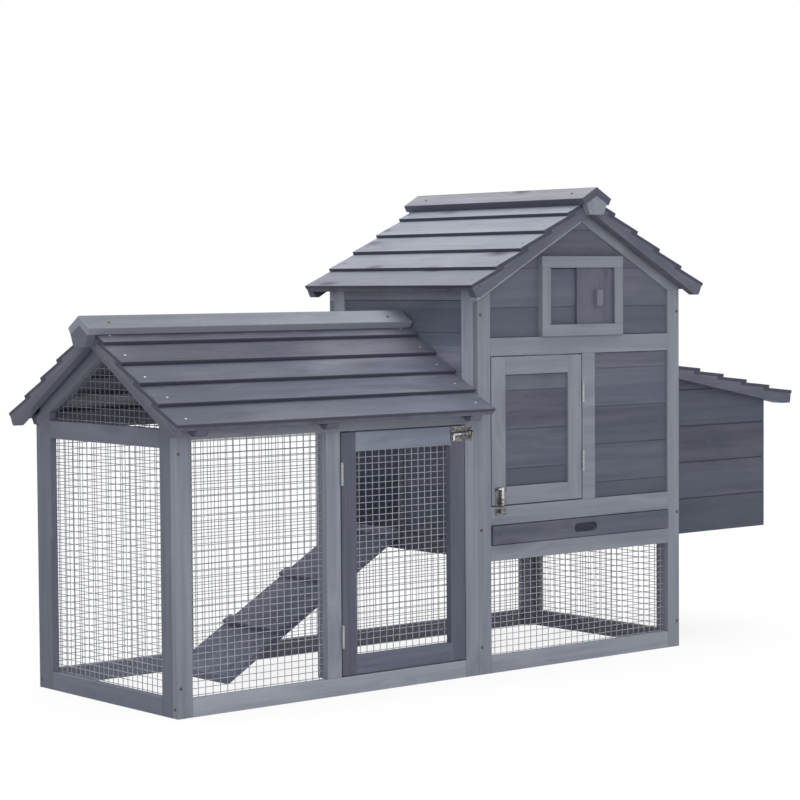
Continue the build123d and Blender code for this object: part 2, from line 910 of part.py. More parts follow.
def nest_side_walls():
    top = nest_height(coop_end)
    span = (coop_end, nest_end, nest_underside, top, nest_inset)
    front = under_lid(level_boards("x", *span, nest_wall_thickness, nest_groove))
    return front + to_back(front)


def nest_end_wall():
    top = nest_height(nest_end_inner)
    span = (nest_wall_back, depth - nest_wall_back, nest_underside, top, nest_end)
    return under_lid(level_boards("y", *span, -nest_wall_thickness, nest_groove))


def nest_floor():
    y_span = (nest_wall_back, depth - nest_wall_back)
    return [block(coop_end, nest_end_inner, *y_span, nest_floor_top - nest_floor_thickness, nest_floor_top)]


def nest_divider():
    y_low = depth / 2 - nest_divider_thickness / 2
    y_span = (y_low, y_low + nest_divider_thickness)
    return [timber(coop_end, nest_end_inner, *y_span, nest_floor_top, nest_floor_top + nest_divider_height)]


lid_y_low = nest_inset - lid_overhang


def lid_boards():
    span = (lid_y_low, depth - lid_y_low)
    return roof_boards(lid_slope, lid_slope_length, lid_exposure, lid_wall_gap, "y", *span)


def lid_battens():
    side = (lid_y_low, nest_inset - lid_side_gap)
    front = verge_batten(lid_slope, lid_wall_gap, lid_slope_length, lid_exposure, "y", *side)
    strip = eave_strip(lid_slope, lid_slope_length, lid_exposure, "y", lid_y_low, depth - lid_y_low)
    return [front, strip] + to_back([front])


# Doors

run_door_left = hinge_post_right + door_gap
run_door_right = run_inner_right - door_gap
run_door_low = rail_height + door_gap
run_door_high = run_top_rail_underside - door_gap
coop_door_left = coop_inner_left + door_gap
coop_door_right = mullion_low - door_gap
coop_door_low = sill_top + door_gap
coop_door_high = lintel_underside - door_gap


def door_frame(x_low, x_high, z_low, z_high, stile, rail):
    y_span = (0, timber_thickness)
    left = timber(x_low, x_low + stile, *y_span, z_low, z_high)
    right = timber(x_high - stile, x_high, *y_span, z_low, z_high)
    bottom = timber(x_low + stile, x_high - stile, *y_span, z_low, z_low + rail)
    top = timber(x_low + stile, x_high - stile, *y_span, z_high - rail, z_high)
    return [left, right, bottom, top]


def run_door_frame():
    sizes = (run_door_left, run_door_right, run_door_low, run_door_high)
    return door_frame(*sizes, run_door_member, run_door_member)


def run_door_net():
    member = run_door_member
    x_span = (run_door_left + member, run_door_right - member)
    z_span = (run_door_low + member, run_door_high - member)
    return [bay_net(*x_span, *z_span, "y", timber_thickness)]


def coop_door_frame():
    sizes = (coop_door_left, coop_door_right, coop_door_low, coop_door_high)
    return door_frame(*sizes, coop_door_stile, coop_door_rail)


def coop_door_boards():
    x_span = (coop_door_left + coop_door_stile, coop_door_right - coop_door_stile)
    z_span = (coop_door_low + coop_door_rail, coop_door_high - coop_door_rail)
    return wall_boards("x", *x_span, *z_span, 0, 1, door_groove)


# Hinges, made about an upright pin at the origin

leaf_start = knuckle_radius + knuckle_clearance


def hinge_leaf(offset, segments):
    # The plate runs along +Y, with its knuckles at the given thirds of the height.
    third = hinge_height / 3
    far = leaf_start + hinge_leaf_width
    leaf = block(offset, offset + hinge_leaf_thickness, leaf_start, far, 0, hinge_height)
    for segment in segments:
        z_low = segment * third + knuckle_clearance / 2
        z_high = (segment + 1) * third - knuckle_clearance / 2
        leaf += Pos(0, 0, z_low) * Cylinder(knuckle_radius, z_high - z_low, align=on_end)
        leaf += block(offset, offset + hinge_leaf_thickness, 0, leaf_start, z_low, z_high)
    return (leaf - Cylinder(pin_radius + pin_clearance, 2 * hinge_height)).solid()


def hinge_pin():
    shank = Cylinder(pin_radius, hinge_height, align=on_end)
    head = Pos(0, 0, hinge_height) * Cylinder(pin_head_radius, pin_head_height, align=on_end)
    return (shank + head).solid()


leaf_right = door_gap / 2 - hinge_leaf_thickness
leaf_left = -door_gap / 2
run_pin_x = hinge_post_right + door_gap / 2
coop_pin_x = mullion_low - door_gap / 2
run_hinge_places = [Pos(run_pin_x, -leaf_start, z) for z in (run_hinge_low, run_hinge_high)]
coop_hinge_places = [Pos(coop_pin_x, -leaf_start, z) for z in (coop_hinge_low, coop_hinge_high)]
outer_knuckles = (0, 2)
middle_knuckle = (1,)

lid_top_fall = lid_slope.angle - board_tilt(lid_exposure)
lid_top_corner = lid_slope.point(*lapped_slope(lid_slope_length, lid_exposure, lid_wall_gap)[-1][3])
lid_pin_x = coop_end + leaf_start
lid_surface = lid_top_corner[1] + (lid_top_corner[0] - lid_pin_x) * tan(lid_top_fall)
lid_pin_z = lid_surface + leaf_start / cos(lid_top_fall)
lid_hinge_backs = (lid_y_low + lid_hinge_inset + hinge_height, depth - lid_y_low - lid_hinge_inset)
lid_hinge_places = [Pos(lid_pin_x, y, lid_pin_z) for y in lid_hinge_backs]
upright_leaf = Rot(X=90)
lid_leaf = Rot(Y=90 + degrees(lid_top_fall)) * upright_leaf


def hinge_fixed_leaves():
    leaves = [place * hinge_leaf(leaf_left, outer_knuckles) for place in run_hinge_places]
    leaves += [place * hinge_leaf(leaf_right, outer_knuckles) for place in coop_hinge_places]
    wall = hinge_leaf(-leaf_start, outer_knuckles)
    return leaves + [place * upright_leaf * wall for place in lid_hinge_places]


def hinge_pins():
    pins = [place * hinge_pin() for place in run_hinge_places + coop_hinge_places]
    return pins + [place * upright_leaf * hinge_pin() for place in lid_hinge_places]


def run_door_leaves():
    return [place * hinge_leaf(leaf_right, middle_knuckle) for place in run_hinge_places]


def coop_door_leaves():
    return [place * hinge_leaf(leaf_left, middle_knuckle) for place in coop_hinge_places]


def lid_leaves():
    leaf = hinge_leaf(leaf_start - hinge_leaf_thickness, middle_knuckle)
    return [place * lid_leaf * leaf for place in lid_hinge_places]


# Barrel bolts, made to shoot along +X from the plate's end at the origin

bolt_axis = Pos(0, -bolt_plate_thickness - bolt_height, 0) * Rot(Y=90)


def guide(x_low, play):
    place = Pos(x_low, 0, 0) * bolt_axis
    bore_radius = bolt_radius + play
    radius = bore_radius + bolt_loop_wall
    loop = place * Cylinder(radius, bolt_guide_length, align=on_end)
    y_low = -bolt_plate_thickness - bolt_height
    foot = block(x_low, x_low + bolt_guide_length, y_low, -bolt_plate_thickness, -radius, radius)
    bore = place * Cylinder(bore_radius, bolt_guide_length, align=on_end)
    return loop + foot - bore


def bolt_plate():
    half = bolt_plate_width / 2
    plate = block(-bolt_plate_length, 0, -bolt_plate_thickness, 0, -half, half)
    # Behind the first guide there is room for the handle and its travel.
    handle_room = 2 * bolt_handle_radius + bolt_travel + 2 * bolt_tip_setback
    plate += guide(handle_room - bolt_plate_length, bolt_clearance)
    plate += guide(-bolt_guide_length, bolt_clearance)
    return plate.solid()


def bolt_rod():
    length = bolt_plate_length - bolt_tip_setback
    rod = Pos(-bolt_plate_length, 0, 0) * bolt_axis * Cylinder(bolt_radius, length, align=on_end)
    handle_x = -bolt_plate_length + bolt_handle_radius + bolt_tip_setback
    place = Pos(handle_x, -bolt_plate_thickness - bolt_height, -bolt_handle_length)
    handle = place * Cylinder(bolt_handle_radius, bolt_handle_length, align=on_end)
    return (rod + handle).solid()


def bolt_keeper():
    half = bolt_plate_width / 2
    plate = block(keeper_distance, keeper_distance + keeper_length, -bolt_plate_thickness, 0, -half, half)
    middle = keeper_distance + keeper_length / 2
    return (plate + guide(middle - bolt_guide_length / 2, keeper_play)).solid()


run_bolt_place = Pos(run_door_right, 0, run_door_high - run_bolt_from_top)
coop_bolt_place = Pos(coop_door_left + coop_bolt_from_edge, 0, coop_door_low) * Rot(Y=90)


def bolt_keepers():
    return [place * bolt_keeper() for place in (run_bolt_place, coop_bolt_place)]


# Screws

def screw(x, y, z):
    # A flat head on a face that looks towards the front.
    return (Pos(x, y, z) * Rot(X=90) * Cylinder(screw_radius, screw_height, align=on_end)).solid()

def frame_screws():
    half = timber_thickness / 2
    run_heights = (run_low_screw, run_high_screw)
    coop_heights = (run_low_screw, coop_middle_screw, coop_high_screw)
    heads = [screw(half, 0, z) for z in run_heights]
    for x in (run_length + half, coop_end - half):
        heads += [screw(x, 0, z) for z in coop_heights]
    return heads + to_back(heads)


nodes = {
    "run_front_stiles": run_long_stiles(hinge_post_left),
    "run_front_rails": run_long_rails(),
    "run_back_stiles": to_back(run_long_stiles(back_post_left)),
    "run_back_rails": to_back(run_long_rails()),
    "run_end_stiles": run_end_stiles(),
    "run_end_rails": run_end_rails(),
    "run_end_rafters": run_end_rafters(),
    "run_front_net": run_front_net(),
    "run_back_nets": run_back_nets(),
    "run_end_nets": run_end_nets(),
    "inner_battens": inner_battens(),
    "run_roof_front_boards": run_roof_boards(run_front_slope),
    "run_roof_back_boards": run_roof_boards(run_back_slope),
    "run_roof_battens": run_roof_battens(),
    "run_ridge_cap": run_ridge_cap(),
    "ridge_blocks": ridge_blocks(),
    "ramp_board": ramp_board(),
    "ramp_cleats": ramp_cleats(),
    "coop_front_stiles": coop_end_stiles(),
    "coop_front_rails": coop_front_rails(),
    "coop_back_stiles": to_back(coop_end_stiles()),
    "coop_back_rails": coop_back_rails(),
    "coop_rafters": coop_rafters(),
    "coop_side_stiles": coop_side_stiles(),
    "coop_side_rails": coop_side_rails(),
    "coop_front_boards": coop_front_boards(),
    "coop_back_boards": coop_back_boards(),
    "coop_side_boards": coop_left_boards() + coop_right_boards(),
    "coop_lower_nets": coop_lower_nets(),
    "coop_roof_left_boards": coop_roof_boards(coop_left_slope),
    "coop_roof_right_boards": coop_roof_boards(coop_right_slope),
    "coop_roof_battens": coop_roof_battens(),
    "coop_ridge_cap": coop_ridge_cap(),
    "window_frame": window_frame(),
    "tray_runners": tray_runners(),
    "perch": perch(),
    "nest_side_walls": nest_side_walls(),
    "nest_end_wall": nest_end_wall(),
    "nest_floor": nest_floor(),
    "nest_divider": nest_divider(),
    "hinge_fixed_leaves": hinge_fixed_leaves(),
    "hinge_pins": hinge_pins(),
    "bolt_keepers": bolt_keepers(),
    "frame_screws": frame_screws(),
    "run_door_frame": run_door_frame(),
    "run_door_net": run_door_net(),
    "run_door_leaves": run_door_leaves(),
    "run_bolt_plate": [run_bolt_place * bolt_plate()],
    "run_bolt": [run_bolt_place * bolt_rod()],
    "coop_door_frame": coop_door_frame(),
    "coop_door_boards": coop_door_boards(),
    "coop_door_leaves": coop_door_leaves(),
    "coop_bolt_plate": [coop_bolt_place * bolt_plate()],
    "coop_bolt": [coop_bolt_place * bolt_rod()],
    "tray_front": tray_front(),
    "tray_base": tray_base(),
    "nest_lid_boards": lid_boards(),
    "nest_lid_battens": lid_battens(),
    "nest_lid_leaves": lid_leaves(),
    "window_shutter": shutter() + shutter_knob(),
}

# The whole is moved so that the origin lies under its middle, on the ground.
whole = Compound([solid for solids in nodes.values() for solid in solids]).bounding_box()
home = Pos(-whole.center().X, -whole.center().Y, -whole.min.Z)
os.makedirs("parts", exist_ok=True)
for name, solids in nodes.items():
    export_step(home * Compound(solids), f"parts/{name}.step")
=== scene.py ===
import math
import random

import bpy
from mathutils import Matrix, Vector


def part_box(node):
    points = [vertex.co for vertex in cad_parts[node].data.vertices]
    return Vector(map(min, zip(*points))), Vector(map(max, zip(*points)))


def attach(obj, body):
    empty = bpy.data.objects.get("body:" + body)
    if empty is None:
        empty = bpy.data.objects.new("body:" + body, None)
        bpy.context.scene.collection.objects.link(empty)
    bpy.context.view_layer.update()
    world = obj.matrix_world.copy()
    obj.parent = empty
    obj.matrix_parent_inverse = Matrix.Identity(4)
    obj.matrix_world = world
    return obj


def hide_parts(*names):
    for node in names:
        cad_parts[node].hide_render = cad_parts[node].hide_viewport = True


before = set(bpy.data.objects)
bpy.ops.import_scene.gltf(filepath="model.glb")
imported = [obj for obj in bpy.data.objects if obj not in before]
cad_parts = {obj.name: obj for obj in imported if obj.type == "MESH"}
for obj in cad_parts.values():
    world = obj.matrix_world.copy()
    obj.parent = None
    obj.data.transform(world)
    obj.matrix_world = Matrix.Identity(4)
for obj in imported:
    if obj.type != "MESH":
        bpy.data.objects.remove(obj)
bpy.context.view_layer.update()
bpy.ops.object.select_all(action="DESELECT")
print("frame loaded:", len(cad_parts), "nodes")


# Small helpers for meshes

def solidsOf(nodeName):
    # the points of each separate solid in a node
    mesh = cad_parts[nodeName].data
    spots = [tuple(round(c, 6) for c in v.co) for v in mesh.vertices]
    above = {}

    def top(spot):
        while above.setdefault(spot, spot) != spot:
            spot = above[spot]
        return spot

    for face in mesh.polygons:
        first = top(spots[face.vertices[0]])
        for index in face.vertices[1:]:
            above[top(spots[index])] = first
    groups = {}
    for spot in set(spots):
        groups.setdefault(top(spot), []).append(Vector(spot))
    return list(groups.values())


def boxOf(points):
    low = Vector(min(p[i] for p in points) for i in range(3))
    high = Vector(max(p[i] for p in points) for i in range(3))
    return low, high


def useAlone(piece):
    bpy.ops.object.select_all(action="DESELECT")
    piece.select_set(True)
    bpy.context.view_layer.objects.active = piece


def joinAll(pieces, name):
    bpy.ops.object.select_all(action="DESELECT")
    for piece in pieces:
        piece.select_set(True)
    bpy.context.view_layer.objects.active = pieces[0]
    bpy.ops.object.join()
    joined = bpy.context.object
    joined.name = name
    joined.data.name = name
    return joined


def editFaces(piece, wanted):
    # into edit mode with only the wanted faces picked
    useAlone(piece)
    bpy.ops.object.mode_set(mode="EDIT")
    bpy.ops.mesh.select_mode(type="FACE")
    bpy.ops.mesh.select_all(action="DESELECT")
    bpy.ops.object.mode_set(mode="OBJECT")
    for face in piece.data.polygons:
        face.select = wanted(face)
    bpy.ops.object.mode_set(mode="EDIT")


# Small helpers for materials

def feed(tree, made, inputs):
    # a socket is linked, a plain value is set
    for key, value in inputs.items():
        if isinstance(value, bpy.types.NodeSocket):
            tree.links.new(value, made.inputs[key])
        else:
            made.inputs[key].default_value = value


def put(tree, kind, inputs=None, **settings):
    made = tree.nodes.new("ShaderNode" + kind)
    for name, value in settings.items():
        setattr(made, name, value)
    feed(tree, made, inputs or {})
    return made


def sums(tree, operation, a, b=0.0, c=0.0):
    return put(tree, "Math", {0: a, 1: b, 2: c}, operation=operation).outputs[0]


def vectorSums(tree, operation, a, b):
    return put(tree, "VectorMath", {0: a, 1: b}, operation=operation).outputs[0]


def fade(tree, value, low, high, toLow=0.0, toHigh=1.0):
    ends = {"Value": value, "From Min": low, "From Max": high, "To Min": toLow, "To Max": toHigh}
    return put(tree, "MapRange", ends, interpolation_type="SMOOTHSTEP").outputs[0]


def mixed(tree, amount, a, b, kind="MIX"):
    made = put(tree, "Mix", data_type="RGBA", blend_type=kind)
    feed(tree, made, {0: amount, 6: a, 7: b})  # the colour sockets of the node
    return made.outputs[2]


def shaded(tree, colour, level):
    # the colour times one level, lighter above 1 and darker below
    shade = put(tree, "CombineColor", {0: level, 1: level, 2: level}).outputs[0]
    return mixed(tree, 1.0, colour, shade, "MULTIPLY")


def newGroup(name, inputs, outputs):
    tree = bpy.data.node_groups.new(name, "ShaderNodeTree")
    for title, kind in inputs:
        tree.interface.new_socket(title, in_out="INPUT", socket_type="NodeSocket" + kind)
    for title, kind in outputs:
        tree.interface.new_socket(title, in_out="OUTPUT", socket_type="NodeSocket" + kind)
    start = tree.nodes.new("NodeGroupInput").outputs
    end = tree.nodes.new("NodeGroupOutput").inputs
    return tree, start, end


def useGroup(tree, name, inputs):
    made = tree.nodes.new("ShaderNodeGroup")
    made.node_tree = bpy.data.node_groups[name]
    feed(tree, made, inputs)
    return made.outputs


def newMaterial(name):
    material = bpy.data.materials.new(name)
    material.use_nodes = True
    tree = material.node_tree
    shader = tree.nodes["Principled BSDF"]
    where = put(tree, "TexCoord").outputs["Object"]
    return material, tree, shader, where


# Shared effects: grain with knots, tone of each board, rubbed edges and scuffs

def timberGrain():
    tree, start, end = newGroup(
        "timberGrain",
        [("Vector", "Vector"), ("Stretch", "Vector"), ("Knots", "Vector")],
        [("Streak", "Float"), ("Fibre", "Float"), ("Knot", "Float"), ("Patch", "Float"), ("Cloud", "Float")])
    cells = vectorSums(tree, "MULTIPLY", start["Vector"], start["Knots"])
    cell = put(tree, "TexVoronoi", {"Vector": cells, "Scale": 1.0}, feature="F1").outputs
    pick = put(tree, "SeparateColor", {"Color": cell["Color"]}).outputs["Red"]
    kept = sums(tree, "GREATER_THAN", pick, 0.52)
    core = fade(tree, cell["Distance"], 0.02, 0.33, 1.0, 0.0)
    swirl = fade(tree, cell["Distance"], 0.05, 0.55, 1.0, 0.0)
    long = vectorSums(tree, "MULTIPLY", start["Vector"], start["Stretch"])
    bent = vectorSums(tree, "ADD", long, sums(tree, "MULTIPLY", sums(tree, "MULTIPLY", swirl, kept), 1.6))
    broad = put(tree, "TexNoise", {"Vector": bent, "Scale": 0.8, "Detail": 6.0, "Roughness": 0.62,
                                   "Distortion": 0.25}).outputs[0]
    fine = put(tree, "TexNoise", {"Vector": bent, "Scale": 4.5, "Detail": 4.0, "Roughness": 0.7}).outputs[0]
    patch = put(tree, "TexNoise", {"Vector": start["Vector"], "Scale": 7.0, "Detail": 3.0}).outputs[0]
    tree.links.new(fade(tree, broad, 0.3, 0.7), end["Streak"])
    tree.links.new(fade(tree, fine, 0.3, 0.7), end["Fibre"])
    tree.links.new(sums(tree, "MULTIPLY", core, kept), end["Knot"])
    tree.links.new(fade(tree, patch, 0.3, 0.7), end["Patch"])
    cloud = put(tree, "TexNoise", {"Vector": cells, "Scale": 0.55, "Detail": 5.0, "Roughness": 0.6,
                                   "Distortion": 0.4}).outputs[0]
    tree.links.new(fade(tree, cloud, 0.36, 0.68), end["Cloud"])


def boardTone():
    tree, start, end = newGroup(
        "boardTone",
        [("Vector", "Vector"), ("Direction", "Vector"), ("Start", "Float"), ("Step", "Float")],
        [("Tone", "Float"), ("Hue", "Float"), ("Seam", "Float")])
    dot = put(tree, "VectorMath", {0: start["Vector"], 1: start["Direction"]}, operation="DOT_PRODUCT")
    along = dot.outputs["Value"]
    place = sums(tree, "DIVIDE", sums(tree, "SUBTRACT", along, start["Start"]), start["Step"])
    number = sums(tree, "FLOOR", place)
    chance = put(tree, "TexWhiteNoise", {"W": number}, noise_dimensions="1D").outputs
    tree.links.new(chance["Value"], end["Tone"])
    other = put(tree, "TexWhiteNoise", {"W": sums(tree, "ADD", number, 37.3)}, noise_dimensions="1D").outputs
    tree.links.new(other["Value"], end["Hue"])
    part = sums(tree, "FRACT", place)
    nearest = sums(tree, "MINIMUM", part, sums(tree, "SUBTRACT", 1.0, part))
    tree.links.new(fade(tree, nearest, 0.012, 0.04, 1.0, 0.0), end["Seam"])


def rubbedEdge():
    tree, start, end = newGroup("rubbedEdge", [("Width", "Float"), ("Patch", "Float")], [("Mask", "Float")])
    soft = put(tree, "Bevel", {"Radius": start["Width"]}, samples=6).outputs[0]
    flat = put(tree, "NewGeometry").outputs["Normal"]
    turn = put(tree, "VectorMath", {0: soft, 1: flat}, operation="DOT_PRODUCT").outputs["Value"]
    edge = fade(tree, turn, 0.8, 0.985, 1.0, 0.0)
    tree.links.new(sums(tree, "MULTIPLY", edge, fade(tree, start["Patch"], 0.25, 0.8)), end["Mask"])


def scuffMarks():
    tree, start, end = newGroup("scuffMarks", [("Vector", "Vector"), ("Stretch", "Vector")],
                                [("Mask", "Float")])
    fleckCells = put(tree, "TexVoronoi", {"Vector": start["Vector"], "Scale": 38.0}, feature="F1").outputs
    chance = put(tree, "SeparateColor", {"Color": fleckCells["Color"]}).outputs["Green"]
    fleck = sums(tree, "MULTIPLY", fade(tree, fleckCells["Distance"], 0.05, 0.16, 1.0, 0.0),
                 sums(tree, "GREATER_THAN", chance, 0.9))
    long = vectorSums(tree, "MULTIPLY", start["Vector"], start["Stretch"])
    rub = put(tree, "TexNoise", {"Vector": long, "Scale": 1.7, "Detail": 7.0, "Roughness": 0.75}).outputs[0]
    where = put(tree, "TexNoise", {"Vector": start["Vector"], "Scale": 5.0, "Detail": 1.0}).outputs[0]
    scrape = sums(tree, "MULTIPLY", fade(tree, rub, 0.56, 0.74), fade(tree, where, 0.5, 0.68))
    tree.links.new(sums(tree, "MAXIMUM", fleck, scrape), end["Mask"])


timberGrain()
boardTone()
rubbedEdge()
scuffMarks()
print("shared effects built")


# Paints, each with its deep and pale tone, knots, and how much boards differ

paints = {
    "grey": {
        "deep": (0.196, 0.206, 0.243, 1), "pale": (0.287, 0.301, 0.349, 1),
        "cool": (0.231, 0.253, 0.287, 1), "knot": (0.157, 0.159, 0.179, 1),
        "worn": (0.381, 0.386, 0.420, 1), "edge": (0.280, 0.289, 0.336, 1),
        "knotStrength": 0.4, "toneSpread": 0.1, "clouds": 0.24, "scuffs": 0.18,
        "rub": 0.35, "rough": (0.5, 0.66),
    },
    "slate": {
        "deep": (0.077, 0.080, 0.114, 1), "pale": (0.139, 0.140, 0.187, 1),
        "cool": (0.093, 0.112, 0.144, 1), "knot": (0.056, 0.056, 0.074, 1),
        "worn": (0.261, 0.259, 0.289, 1), "edge": (0.065, 0.067, 0.090, 1),
        "knotStrength": 0.5, "toneSpread": 0.12, "clouds": 0.24, "scuffs": 0.26,
        "rub": 0.3, "rough": (0.45, 0.62),
    },
    "runRoof": {
        "deep": (0.065, 0.069, 0.103, 1), "pale": (0.127, 0.130, 0.179, 1),
        "cool": (0.088, 0.103, 0.138, 1), "knot": (0.053, 0.054, 0.072, 1),
        "worn": (0.302, 0.300, 0.343, 1), "edge": (0.065, 0.067, 0.093, 1),
        "knotStrength": 0.5, "toneSpread": 0.14, "clouds": 0.62, "scuffs": 0.55,
        "rub": 0.3, "rough": (0.42, 0.6),
    },
    "coopRoof": {
        "deep": (0.227, 0.233, 0.283, 1), "pale": (0.373, 0.385, 0.453, 1),
        "cool": (0.258, 0.275, 0.327, 1), "knot": (0.081, 0.084, 0.108, 1),
        "worn": (0.446, 0.458, 0.499, 1), "edge": (0.067, 0.071, 0.098, 1),
        "knotStrength": 0.9, "toneSpread": 0.1, "clouds": 0.45, "scuffs": 0.3,
        "rub": 0.25, "knotRate": (6.5, 17.0), "rough": (0.42, 0.6),
    },
    "pine": {
        "deep": (0.42, 0.27, 0.13, 1), "pale": (0.60, 0.43, 0.25, 1),
        "cool": (0.52, 0.38, 0.23, 1), "knot": (0.2, 0.1, 0.045, 1),
        "worn": (0.66, 0.52, 0.34, 1), "edge": (0.5, 0.35, 0.2, 1),
        "knotStrength": 0.7, "toneSpread": 0.2, "clouds": 0.1, "scuffs": 0.1,
        "rub": 0.2, "rough": (0.5, 0.68),
    },
}
paints["ramp"] = dict(paints["slate"], scuffs=0.55, clouds=0.35)
paints["batten"] = dict(paints["slate"], scuffs=0.45, clouds=0.3)
paints["coopCap"] = dict(paints["coopRoof"], edge=(0.095, 0.100, 0.133, 1))
grain = {"alongRate": 2.6, "acrossRate": 62.0, "knotRate": (4.2, 13.0), "fibreShare": 0.35,
         "patchShare": 0.45, "hueShare": 0.5, "fibreHeight": 0.6, "knotDepth": 0.4, "bump": 0.0005,
         "bumpStrength": 0.35, "rubWidth": 0.0016, "specular": 0.2}
plating = {"cloudDetail": 6.0, "rubWidth": 0.0008, "rub": 0.5, "bump": 0.0002, "bumpStrength": 0.15}


def stretchAlong(axis, along, across):
    return tuple(along if i == axis else across for i in range(3))


def mirroredPlace(tree, where, axis, middle):
    # both sides of a ridge read the same place
    parts = list(put(tree, "SeparateXYZ", {0: where}).outputs)
    parts[axis] = sums(tree, "ABSOLUTE", sums(tree, "SUBTRACT", parts[axis], middle))
    return put(tree, "CombineXYZ", {0: parts[0], 1: parts[1], 2: parts[2]}).outputs[0]


def foldedPlace(tree, where, axis, middle, pitch):
    # both slopes of a roof read the same pattern, laid along the slope
    folded = mirroredPlace(tree, where, axis, middle)
    turn = (pitch, 0, 0) if axis == 1 else (0, -pitch, 0)
    return put(tree, "Mapping", {"Vector": folded, "Rotation": turn}).outputs[0]


def crossGrain(tree, where, cross, along, across):
    # a frame's rails are grained along X and its stiles along Z
    parts = put(tree, "SeparateXYZ", {0: where}).outputs
    off = sums(tree, "ABSOLUTE", sums(tree, "SUBTRACT", parts[cross["axis"]], cross["middle"]))
    inside = sums(tree, "LESS_THAN", off, cross["half"])
    upright, level = stretchAlong(2, along, across), stretchAlong(0, along, across)
    first, second = (upright, level) if cross["levelInside"] else (level, upright)
    return put(tree, "Mix", {"Factor": inside, 4: first, 5: second}, data_type="VECTOR").outputs[1]


def liesInSlope(tree, axis, pitch):
    # 1 on the faces of a roof's boards that lie in the slope, 0 on their ends and edges
    facing = put(tree, "SeparateXYZ", {0: put(tree, "TexCoord").outputs["Normal"]}).outputs
    side = sums(tree, "MULTIPLY", sums(tree, "ABSOLUTE", facing[axis]), math.sin(pitch))
    return fade(tree, sums(tree, "MULTIPLY_ADD", facing[2], math.cos(pitch), side), 0.78, 0.93)


def within(tree, where, spans):
    # 1 between the given limits on each axis
    parts = put(tree, "SeparateXYZ", {0: where}).outputs
    mask = 1.0
    for axis, (low, high) in spans.items():
        inside = sums(tree, "MULTIPLY", sums(tree, "GREATER_THAN", parts[axis], low),
                      sums(tree, "LESS_THAN", parts[axis], high))
        mask = sums(tree, "MULTIPLY", inside, mask)
    return mask


def stainedAndShaded(tree, where, colour, tint):
    # multiplies the colour by a tint inside its limits, or by one that changes along an axis; most tints are
    # painted light and shade, a few are the paint's own tone
    if "along" in tint:
        axis, low, high, first, last = tint["along"]
        part = put(tree, "SeparateXYZ", {0: where}).outputs[axis]
        ends = {"Value": part, "From Min": low, "From Max": high, "To Min": first, "To Max": last}
        return shaded(tree, colour, put(tree, "MapRange", ends).outputs[0])
    return mixed(tree, within(tree, where, tint["spans"]), colour, tint["colour"], "MULTIPLY")


def paintedTimber(name, paintName, axis, boards=None, fold=None, cross=None, top=None, stainsAndShades=()):
    paint = paints[paintName]
    material, tree, shader, where = newMaterial(name)
    place = foldedPlace(tree, where, **fold) if fold else where
    knotRate = paint.get("knotRate", grain["knotRate"])
    if cross:
        stretch = crossGrain(tree, where, cross, grain["alongRate"], grain["acrossRate"])
        knots = crossGrain(tree, where, cross, *knotRate)
    else:
        stretch = stretchAlong(axis, grain["alongRate"], grain["acrossRate"])
        knots = stretchAlong(axis, *knotRate)
    wood = useGroup(tree, "timberGrain", {"Vector": place, "Stretch": stretch, "Knots": knots})
    colour = mixed(tree, wood["Streak"], paint["deep"], paint["pale"])
    colour = mixed(tree, sums(tree, "MULTIPLY", wood["Fibre"], grain["fibreShare"]), colour, paint["pale"])
    colour = mixed(tree, sums(tree, "MULTIPLY", wood["Patch"], grain["patchShare"]), colour, paint["cool"])
    colour = mixed(tree, sums(tree, "MULTIPLY", wood["Cloud"], paint["clouds"]), colour, paint["worn"])
    if boards:
        tone = boardsTone(tree, where, boards)
        colour = mixed(tree, sums(tree, "MULTIPLY", tone["Hue"], grain["hueShare"]), colour, paint["cool"])
        spread = paint["toneSpread"]
        colour = shaded(tree, colour, fade(tree, tone["Tone"], 0.0, 1.0, 1.0 - spread, 1.0 + spread))
        seam = sums(tree, "MULTIPLY", tone["Seam"], boards.get("seam", 0.0))
        colour = mixed(tree, seam, colour, paint["knot"])
    knotMask = sums(tree, "MULTIPLY", wood["Knot"], paint["knotStrength"])
    colour = mixed(tree, knotMask, colour, paint["knot"])
    scuff = useGroup(tree, "scuffMarks", {"Vector": place, "Stretch": stretch})["Mask"]
    colour = mixed(tree, sums(tree, "MULTIPLY", scuff, paint["scuffs"]), colour, paint["worn"])
    # tints from the table below: painted light and shade on most members, the paint's own tone on a few
    for stainAndShade in stainsAndShades:
        colour = stainedAndShaded(tree, where, colour, tints[stainAndShade])
    if top:
        colour = mixed(tree, liesInSlope(tree, **top), paint["edge"], colour)
    edge = useGroup(tree, "rubbedEdge", {"Width": grain["rubWidth"], "Patch": wood["Patch"]})["Mask"]
    colour = mixed(tree, sums(tree, "MULTIPLY", edge, paint["rub"]), colour, paint["worn"])
    tree.links.new(colour, shader.inputs["Base Color"])
    shader.inputs["Specular IOR Level"].default_value = grain["specular"]
    tree.links.new(fade(tree, wood["Fibre"], 0.0, 1.0, *paint["rough"]), shader.inputs["Roughness"])
    height = sums(tree, "SUBTRACT", sums(tree, "MULTIPLY", wood["Fibre"], grain["fibreHeight"]),
                  sums(tree, "MULTIPLY", wood["Knot"], grain["knotDepth"]))
    bump = put(tree, "Bump", {"Height": height, "Strength": grain["bumpStrength"], "Distance": grain["bump"]})
    tree.links.new(bump.outputs[0], shader.inputs["Normal"])
    return material


def boardsTone(tree, where, boards):
    # a wall may change its board lines above a given height
    place, start = where, boards["start"]
    if "mirror" in boards:
        place = mirroredPlace(tree, where, *boards["mirror"])
    if "upperFrom" in boards:
        height = put(tree, "SeparateXYZ", {0: where}).outputs[2]
        above = sums(tree, "GREATER_THAN", height, boards["upperFrom"])
        start = sums(tree, "MULTIPLY_ADD", above, boards["upperStart"] - start, start)
    return useGroup(tree, "boardTone", {"Vector": place, "Direction": boards["direction"], "Start": start,
                                        "Step": boards["step"]})


